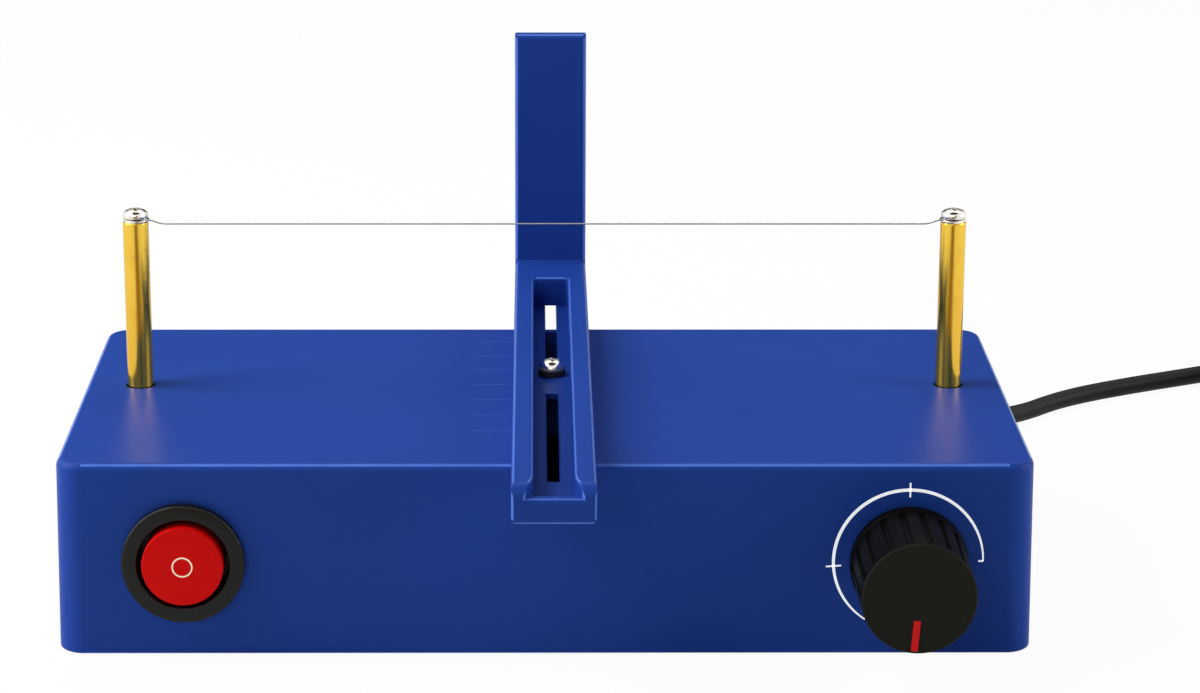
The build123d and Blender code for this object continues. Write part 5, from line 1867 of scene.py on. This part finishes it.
@dataclass
class SupplyLead:
    """Strain relief, cord with its coil, tie and plug."""

    shop: Workshop
    diameter: float = 4.0 * MM
    length: float = 1.093
    outer_radius: float = 29.8 * MM
    turn_pitch: float = 4.6 * MM
    half_turns: int = 6
    points_per_turn: int = 16
    wall: float = 2.5 * MM
    flange_radius: float = 4.3 * MM
    neck_radius: float = 3.1 * MM
    collar_radius: float = 4.0 * MM
    collar_length: float = 2.0 * MM
    root_radius: float = 3.5 * MM
    tip_radius: float = 2.9 * MM
    relief_rows: int = 72
    relief_columns: int = 120
    slots: GrooveRings = GrooveRings(3, 2.2 * MM, 1.0 * MM, 0.75 * MM, 0.12)
    slot_skin: float = 0.3 * MM
    taper_length: float = 9.0 * MM
    grip_length: float = 14.0 * MM
    grip_rows: int = 96
    grip_inset: int = 4
    entry_radius: float = 2.7 * MM
    shoulder_radius: float = 4.0 * MM
    ribs: GrooveRings = GrooveRings(4, 2.6 * MM, 1.1 * MM, 0.45 * MM, -0.2)
    rib_skin: float = 0.2 * MM
    plug_columns: int = 96
    sleeve_wall: float = 0.4 * MM
    sleeve_columns: int = 72
    contact_radius: float = 1.05 * MM
    contact_floor: float = 0.1
    strap_thickness: float = 0.8 * MM
    strap_corner: float = 1.8 * MM
    strap_bevel: Range = (0.94, 0.3)
    strap_steps: int = 8
    lap_rows: int = 20
    lap_rise_rows: int = 5
    lap_lift: float = 1.06
    high_shares: Range = (0.15, 0.4)
    low_shares: Point = (0.65, 0.85, 1.0)
    free_route: tuple[Point, ...] = (
        (81.0, 55.5, 14.0),
        (81.0, 63.0, 14.0),
        (82.9, 70.8, 12.9),
        (87.1, 78.2, 9.6),
        (93.1, 84.8, 5.9),
        (100.3, 91.2, 3.2),
        (108.3, 99.3, 2.0),
        (115.6, 107.2, 2.0),
        (124.2, 113.7, 2.0),
        (136.0, 120.4, 2.0),
        (147.0, 125.9, 2.0),
        (159.0, 131.3, 2.2),
        (168.0, 134.6, 2.7),
        (175.0, 136.0, 3.3),
        (182.0, 136.0, 3.3),
    )

    def build(self) -> None:
        """Make the cord and what is on it."""
        self.relief()
        held = [self.plug(), *self.barrel(), self.tie()]
        points = self.control_points()
        cord = tube_curve("supply_cord", points, self.diameter, resolution=8, sides=4)
        self.shop.fit(cord, CORD_SHEATH, ("power_cord", "cord_coil"))

    def spiral(
        self, hub: Range, start: float, sweep: float, radius: float, growth: float, heights: Range
    ) -> list[Point]:
        """Control points of a spiral about an upright line, clockwise from above.

        Args:
            hub: The line's x and y.
            start: Turn from the rear where the spiral begins, in radians.
            sweep: How far it turns.
            radius: Its radius where it begins.
            growth: What each whole turn adds to the radius.
            heights: Where it begins and ends.

        Returns:
            The points, set out so that the smooth line keeps the radius.
        """
        count = round(sweep / TURN * self.points_per_turn)
        outset = 1 / math.cos(math.pi / self.points_per_turn)
        low, high = heights
        points = []
        for k in range(count):
            share = (k + 0.5) / count
            turn = start + sweep * share
            reach = (radius + growth * sweep * share / TURN) * outset
            rise = share * share * (3 - 2 * share)
            x, y = hub[0] + reach * math.sin(turn), hub[1] + reach * math.cos(turn)
            points.append((x, y, low + (high - low) * rise))
        return points

    def control_points(self) -> list[Point]:
        """The whole cord: free stretch, coil inwards, up a layer, outwards, and down to the plug.

        Returns:
            The cord's control points.
        """
        points = [(x * MM, y * MM, z * MM) for x, y, z in self.free_route]
        end_x, end_y, low = points[-1]
        high = low + self.turn_pitch
        radius, pitch = self.outer_radius, self.turn_pitch
        inner = radius - self.half_turns * pitch / 2
        x, y = end_x + self.diameter, end_y - radius
        inward = math.pi * self.half_turns
        outward = math.pi * (self.half_turns - 1)
        start = inward + math.pi
        shift = pitch / 4
        points += self.spiral((x, y - shift), 0.0, inward, radius + shift, -pitch, (low, low))
        points += self.spiral((x, y), inward, math.pi, inner, 0.0, (low, high))
        points += self.spiral((x, y + shift), start, outward, inner + shift, pitch, (high, high))
        points += self.spiral((x, y), start + outward, QUARTER, radius, 0.0, (high, high))
        plug = middle("plug_body")
        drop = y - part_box("plug_body")[1].y
        points += [(plug.x, y - share * drop, high) for share in self.high_shares]
        points += [(plug.x, y - share * drop, plug.z) for share in self.low_shares]
        return points

    def relief(self) -> None:
        """Tapered sleeve snapped into the rear wall, with staggered slots that let it bend."""
        low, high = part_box("strain_relief")
        spot = middle("strain_relief")
        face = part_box("housing")[1].y
        back, tip = low.y - face, high.y - face
        rows = self.relief_rows
        length = tip - self.collar_length
        fall = self.tip_radius - self.root_radius
        taper = [
            (self.root_radius + fall * k / rows, self.collar_length + length * k / rows)
            for k in range(1, rows)
        ]
        foot = [
            (0.0, back, 0.0),
            (self.flange_radius, back, 0.4 * MM),
            (self.flange_radius, -self.wall, 0.2 * MM),
            (self.neck_radius, -self.wall, 0.0),
            (self.neck_radius, 0.0, 0.0),
            (self.collar_radius, 0.0, 0.1 * MM),
            (self.collar_radius, self.collar_length, 0.5 * MM),
            (self.root_radius, self.collar_length, 0.0),
        ]
        bore = self.diameter / 2
        end = [
            (*taper[-1], 0.0),
            (self.tip_radius, tip, 0.08 * MM),
            (bore, tip, 0.1 * MM),
            (bore, tip - bore, 0.0),
            (0.0, tip - bore, 0.0),
        ]
        outline = rounded_outline(foot) + taper[:-1] + rounded_outline(end)
        plain = lathe(outline, self.relief_columns)
        first = self.collar_length + self.slots.pitch
        mesh = self.slots.press("relief_slots", plain, first, bore + self.slot_skin, CORD_SHEATH)
        mesh.transform(Facing.REAR.at(spot.x, face, spot.z))
        self.shop.piece("relief_sleeve", mesh, CORD_SHEATH, ("strain_relief",))

    def plug(self) -> bpy.types.Object:
        """Moulded plug with a ribbed grip.

        Returns:
            The plug's piece.
        """
        low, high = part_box("plug_body")
        spot = middle("plug_body")
        grip = (high.x - low.x) / 2
        length = high.y - low.y
        grip_end = self.taper_length + self.grip_length
        rows = self.grip_rows
        ribbed = [
            (grip, self.taper_length + self.grip_length * k / rows)
            for k in range(self.grip_inset, rows - self.grip_inset + 1)
        ]
        tail = [
            (0.0, 0.0, 0.0),
            (self.entry_radius, 0.0, 0.4 * MM),
            (grip, self.taper_length, 2.5 * MM),
            (*ribbed[0], 0.0),
        ]
        nose = [
            (*ribbed[-1], 0.0),
            (grip, grip_end, 0.35 * MM),
            (self.shoulder_radius, grip_end, 0.1 * MM),
            (self.shoulder_radius, length, 0.3 * MM),
            (0.0, length, 0.0),
        ]
        outline = rounded_outline(tail)[:-1] + ribbed + rounded_outline(nose)[1:]
        plain = lathe(outline, self.plug_columns)
        span = (self.ribs.count - 1) * self.ribs.pitch
        first = self.taper_length + (self.grip_length - span) / 2
        mesh = self.ribs.press("plug_ribs", plain, first, grip - self.rib_skin, CORD_SHEATH)
        mesh.transform(Facing.FRONT.at(spot.x, high.y, spot.z))
        return self.shop.piece("plug_moulding", mesh, CORD_SHEATH, ("plug_body",))

    def barrel(self) -> list[bpy.types.Object]:
        """Nickel sleeve of the plug and the black insulator with the contact's hole.

        Returns:
            Both pieces.
        """
        low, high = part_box("plug_barrel")
        spot = middle("plug_barrel")
        outer = (high.x - low.x) / 2
        inner = outer - self.sleeve_wall
        length = high.y - low.y
        sunk = length - self.sleeve_wall
        floor = length * self.contact_floor
        sleeve = [
            (inner, length / 2, 0.0),
            (inner, 0.0, 0.0),
            (outer, 0.0, 0.0),
            (outer, length, 0.25 * MM),
            (inner, length, 0.12 * MM),
            (inner, length / 2, 0.0),
        ]
        hole = [
            (0.0, 0.0, 0.0),
            (inner, 0.0, 0.0),
            (inner, sunk, 0.15 * MM),
            (self.contact_radius, sunk, 0.2 * MM),
            (self.contact_radius, floor, 0.0),
            (0.0, floor, 0.0),
        ]
        place = Facing.FRONT.at(spot.x, high.y, spot.z)
        pieces = []
        for name, corners, finish, nodes, slot in (
            ("plug_sleeve", sleeve, BRIGHT_NICKEL, ("plug_barrel",), "plug_nickel"),
            ("plug_insulator", hole, EPOXY_BLACK, (), "cord_sheath"),
        ):
            mesh = turned(rounded_outline(corners), self.sleeve_columns, place)
            pieces.append(self.shop.piece(name, mesh, finish, nodes, slot))
        return pieces

    def strap_path(self, half_x: float, half_z: float) -> list[tuple[Vector, Vector]]:
        """Line that the strap follows round the turns, a little more than once.

        Args:
            half_x: Half the line's width.
            half_z: Half its height.

        Returns:
            Points and the way outwards at each.
        """
        corner, steps = self.strap_corner, self.strap_steps
        path = []
        for quarter, (sx, sz) in enumerate(((-1, 1), (1, 1), (1, -1), (-1, -1), (-1, 1), (1, 1))):
            hub = Vector((sx * (half_x - corner), 0.0, sz * (half_z - corner)))
            for k in range(steps + 1):
                turn = QUARTER * (quarter - 1 + k / steps)
                outward = Vector((math.sin(turn), 0.0, math.cos(turn)))
                path.append((hub + outward * corner, outward))
        return path[steps // 2 : -(steps // 2)]

    def tie(self) -> bpy.types.Object:
        """Strap round the coil's turns, its end lapped over its start on top.

        Returns:
            The strap's piece.
        """
        low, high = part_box("cord_tie")
        thick = self.strap_thickness
        path = self.strap_path((high.x - low.x - thick) / 2, (high.z - low.z - thick) / 2)
        lap = len(path) - self.lap_rows
        width = high.y - low.y
        flat, side = self.strap_bevel
        half_section = ((-1, -side), (-flat, -0.5), (flat, -0.5), (1, -side))
        section = (*half_section, *((-across, -out) for across, out in half_section))
        shape = bmesh.new()
        rings = []
        for k, (point, outward) in enumerate(path):
            lift = thick * self.lap_lift * min(max((k - lap) / self.lap_rise_rows, 0.0), 1.0)
            centre = middle("cord_tie") + point + outward * lift
            ring = []
            for across, out in section:
                aside = Vector((0.0, across * width / 2, 0.0))
                ring.append(shape.verts.new(centre + aside + outward * out * thick))
            rings.append(ring)
        for first, second in zip(rings, rings[1:]):
            for k in range(len(first)):
                after = (k + 1) % len(first)
                shape.faces.new((first[k], first[after], second[after], second[k]))
        shape.faces.new(rings[0])
        shape.faces.new(rings[-1])
        bmesh.ops.recalc_face_normals(shape, faces=shape.faces)
        mesh = smoothed(mesh_of(shape, "strap"))
        return self.shop.piece("coil_strap", mesh, TIE_STRAP, ("cord_tie",), "cord_sheath")


@dataclass
class InnerWorks:
    """What the closed casing holds."""

    shop: Workshop

    def build(self) -> None:
        """Dress every inner node."""
        finishes = {
            NUT_BRASS: ("post_nuts",),
            BRIGHT_NICKEL: ("post_washers",),
            TINNED_BRASS: ("ring_terminals", "switch_terminals", "pot_terminals"),
            ZINC_STEEL: ("guide_nut", "pot_nut", "pot_washer", "board_screws"),
            PLAIN_ALUMINIUM: ("pot_body", "pot_shaft", "heat_sink"),
            BOARD_GREEN: ("control_board",),
            BLOCK_GREEN: ("lead_terminal_block", "supply_terminal_block"),
            HEADER_WHITE: ("control_header",),
            SLEEVE_BLACK: ("capacitor",),
            EPOXY_BLACK: ("power_transistor",),
            LEAD_RED: ("post_leads", "switch_leads", "pot_leads", "supply_leads"),
        }
        for finish, names in finishes.items():
            self.shop.dress(finish, *names)


# Surroundings


@dataclass(frozen=True)
class Lamp:
    """A soft box that lights the middle of the object."""

    name: str
    place: Point
    size: tuple[float, float]
    power: float
    aim: Point = (0.0, 0.0, 0.03)

    def build(self) -> None:
        """Hang the lamp and turn it to what it lights."""
        light = bpy.data.lights.new(self.name, "AREA")
        light.shape = "RECTANGLE"
        light.size, light.size_y = self.size
        light.energy = self.power
        obj = linked(self.name, light)
        obj.location = self.place
        way = Vector(self.aim) - Vector(self.place)
        obj.rotation_mode = "QUATERNION"
        obj.rotation_quaternion = way.to_track_quat("-Z", "Y")


@dataclass
class Studio:
    """Camera, lamps, pale floor and white surroundings."""

    frame_width: float = 1200.0
    focal_pixels: float = 3527.55
    middle_pixel: float = 558.44
    sensor: float = 36.0
    place: Point = (-0.002061, -0.6584, 0.23844)
    pitch: float = math.radians(16.2566)
    yaw: float = math.radians(0.41077)
    roll: float = math.radians(0.10328)
    floor_size: float = 3.0
    floor_drop: float = 0.1 * MM
    floor_tone: float = 0.75
    floor_glow: float = 0.93
    floor_white: float = 1.02
    dark_front: Color = (0.3, 0.19, 0.06)
    near_front: Color = (0.62, 0.62, 0.62)
    side_edge: Range = (0.06, 0.2)
    near_edge: Range = (-0.2, -0.14)
    sky_dim: float = 0.05
    sky_sides: Range = (0.3, 0.55)
    sky_rise: Range = (0.38, 0.62)
    sky_gap: Range = (0.88, 0.94)
    lamps: tuple[Lamp, ...] = (
        Lamp("key_box", (-0.7, 0.0, 0.8), (0.6, 0.8), 8.2),
        Lamp("left_box", (-1.0, -0.2, 0.35), (0.6, 0.6), 4.0),
        Lamp("right_box", (1.0, -0.1, 0.35), (0.6, 0.6), 5.1),
        Lamp("front_box", (-0.3, -1.1, 0.6), (0.8, 0.6), 2.5),
        Lamp("back_strip", (0.0, 0.45, 0.9), (1.2, 0.12), 2.4),
    )

    def build(self) -> None:
        """Set up everything round the object."""
        bpy.context.scene.view_settings.view_transform = "Standard"
        self.camera()
        self.surroundings()
        self.floor()
        for lamp in self.lamps:
            lamp.build()

    def camera(self) -> None:
        """Camera at the photograph's place, angle and framing."""
        level = Vector((math.cos(self.yaw), -math.sin(self.yaw), 0.0))
        flat = math.cos(self.pitch)
        ahead = Vector((math.sin(self.yaw) * flat, math.cos(self.yaw) * flat, -math.sin(self.pitch)))
        upright = level.cross(ahead)
        right = level * math.cos(self.roll) + upright * math.sin(self.roll)
        up = upright * math.cos(self.roll) - level * math.sin(self.roll)
        data = bpy.data.cameras.new("camera")
        data.sensor_width = self.sensor
        data.lens = self.focal_pixels * self.sensor / self.frame_width
        data.shift_x = 0.5 - self.middle_pixel / self.frame_width
        camera = linked("camera", data)
        turn = Matrix((right, up, -ahead)).transposed()
        camera.matrix_world = Matrix.Translation(self.place) @ turn.to_4x4()
        bpy.context.scene.camera = camera

    def surroundings(self) -> None:
        """World: white to the eye; in reflections dim low down and overhead, white between."""
        world = bpy.data.worlds.new("surroundings")
        bpy.context.scene.world = world
        world.use_nodes = True
        world.node_tree.nodes.clear()
        graph = NodeGraph(world.node_tree)
        x, _, height = graph.parts(graph.add("ShaderNodeTexCoord").outputs["Generated"])
        aside = abs(x).step(*self.sky_sides)
        camera, gloss, through = graph.rays()
        bright = height.step(*self.sky_rise).most(aside) * (1.0 - height.step(*self.sky_gap))
        seen = camera.most(through).most(gloss * (self.sky_dim + (1.0 - self.sky_dim) * bright))
        sockets = {"Color": (1.0, 1.0, 1.0, 1.0), "Strength": seen}
        light = graph.add("ShaderNodeBackground", None, sockets)
        graph.add("ShaderNodeOutputWorld", None, {"Surface": light.outputs[0]})

    def floor(self) -> None:
        """Pale floor with a faint shadow, dark in front for reflections, unseen from below."""
        mesh = bpy.data.meshes.new("floor")
        half = self.floor_size / 2
        sides = ((-half, -half), (half, -half), (half, half), (-half, half))
        mesh.from_pydata([(x, y, -self.floor_drop) for x, y in sides], [], [(0, 1, 2, 3)])
        material = bpy.data.materials.new("floor_white")
        self.paint_floor(SurfaceGraph(material))
        mesh.materials.append(material)
        linked("floor", mesh)

    def paint_floor(self, graph: SurfaceGraph) -> None:
        """Matt floor that glows white to the eye, and in its own tones to reflections.

        Args:
            graph: The material's tree.
        """
        camera, gloss, through = graph.rays()
        seen = camera.most(gloss).most(through) * self.floor_glow
        x, y, _ = graph.parts(graph.place)
        front = graph.blend(y.step(*self.near_edge), self.dark_front, self.near_front)
        mirrored = graph.blend(abs(x).step(*self.side_edge), front, (1.0, 1.0, 1.0))
        glow = graph.blend(gloss, (self.floor_white,) * 3, mirrored)
        matt = graph.add("ShaderNodeBsdfDiffuse", None, {"Color": (*(self.floor_tone,) * 3, 1.0)})
        layers = (
            (seen, graph.add("ShaderNodeEmission", None, {"Color": glow})),
            (
                graph.add("ShaderNodeNewGeometry").outputs["Backfacing"],
                graph.add("ShaderNodeBsdfTransparent"),
            ),
        )
        shader = matt
        for share, layer in layers:
            sockets = {0: share, 1: shader.outputs[0], 2: layer.outputs[0]}
            shader = graph.add("ShaderNodeMixShader", None, sockets)
        graph.show(shader)


def main() -> None:
    """Build the object round its frame."""
    logging.basicConfig(level=logging.INFO, format="%(name)s: %(message)s")
    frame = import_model()
    shop = Workshop(frame["nodes"])
    Studio().build()
    for assembly in (Casing, CuttingWire, StopGuide, PushSwitch, HeatControl, SupplyLead, InnerWorks):
        assembly(shop).build()


if __name__ == "__main__":
    main()
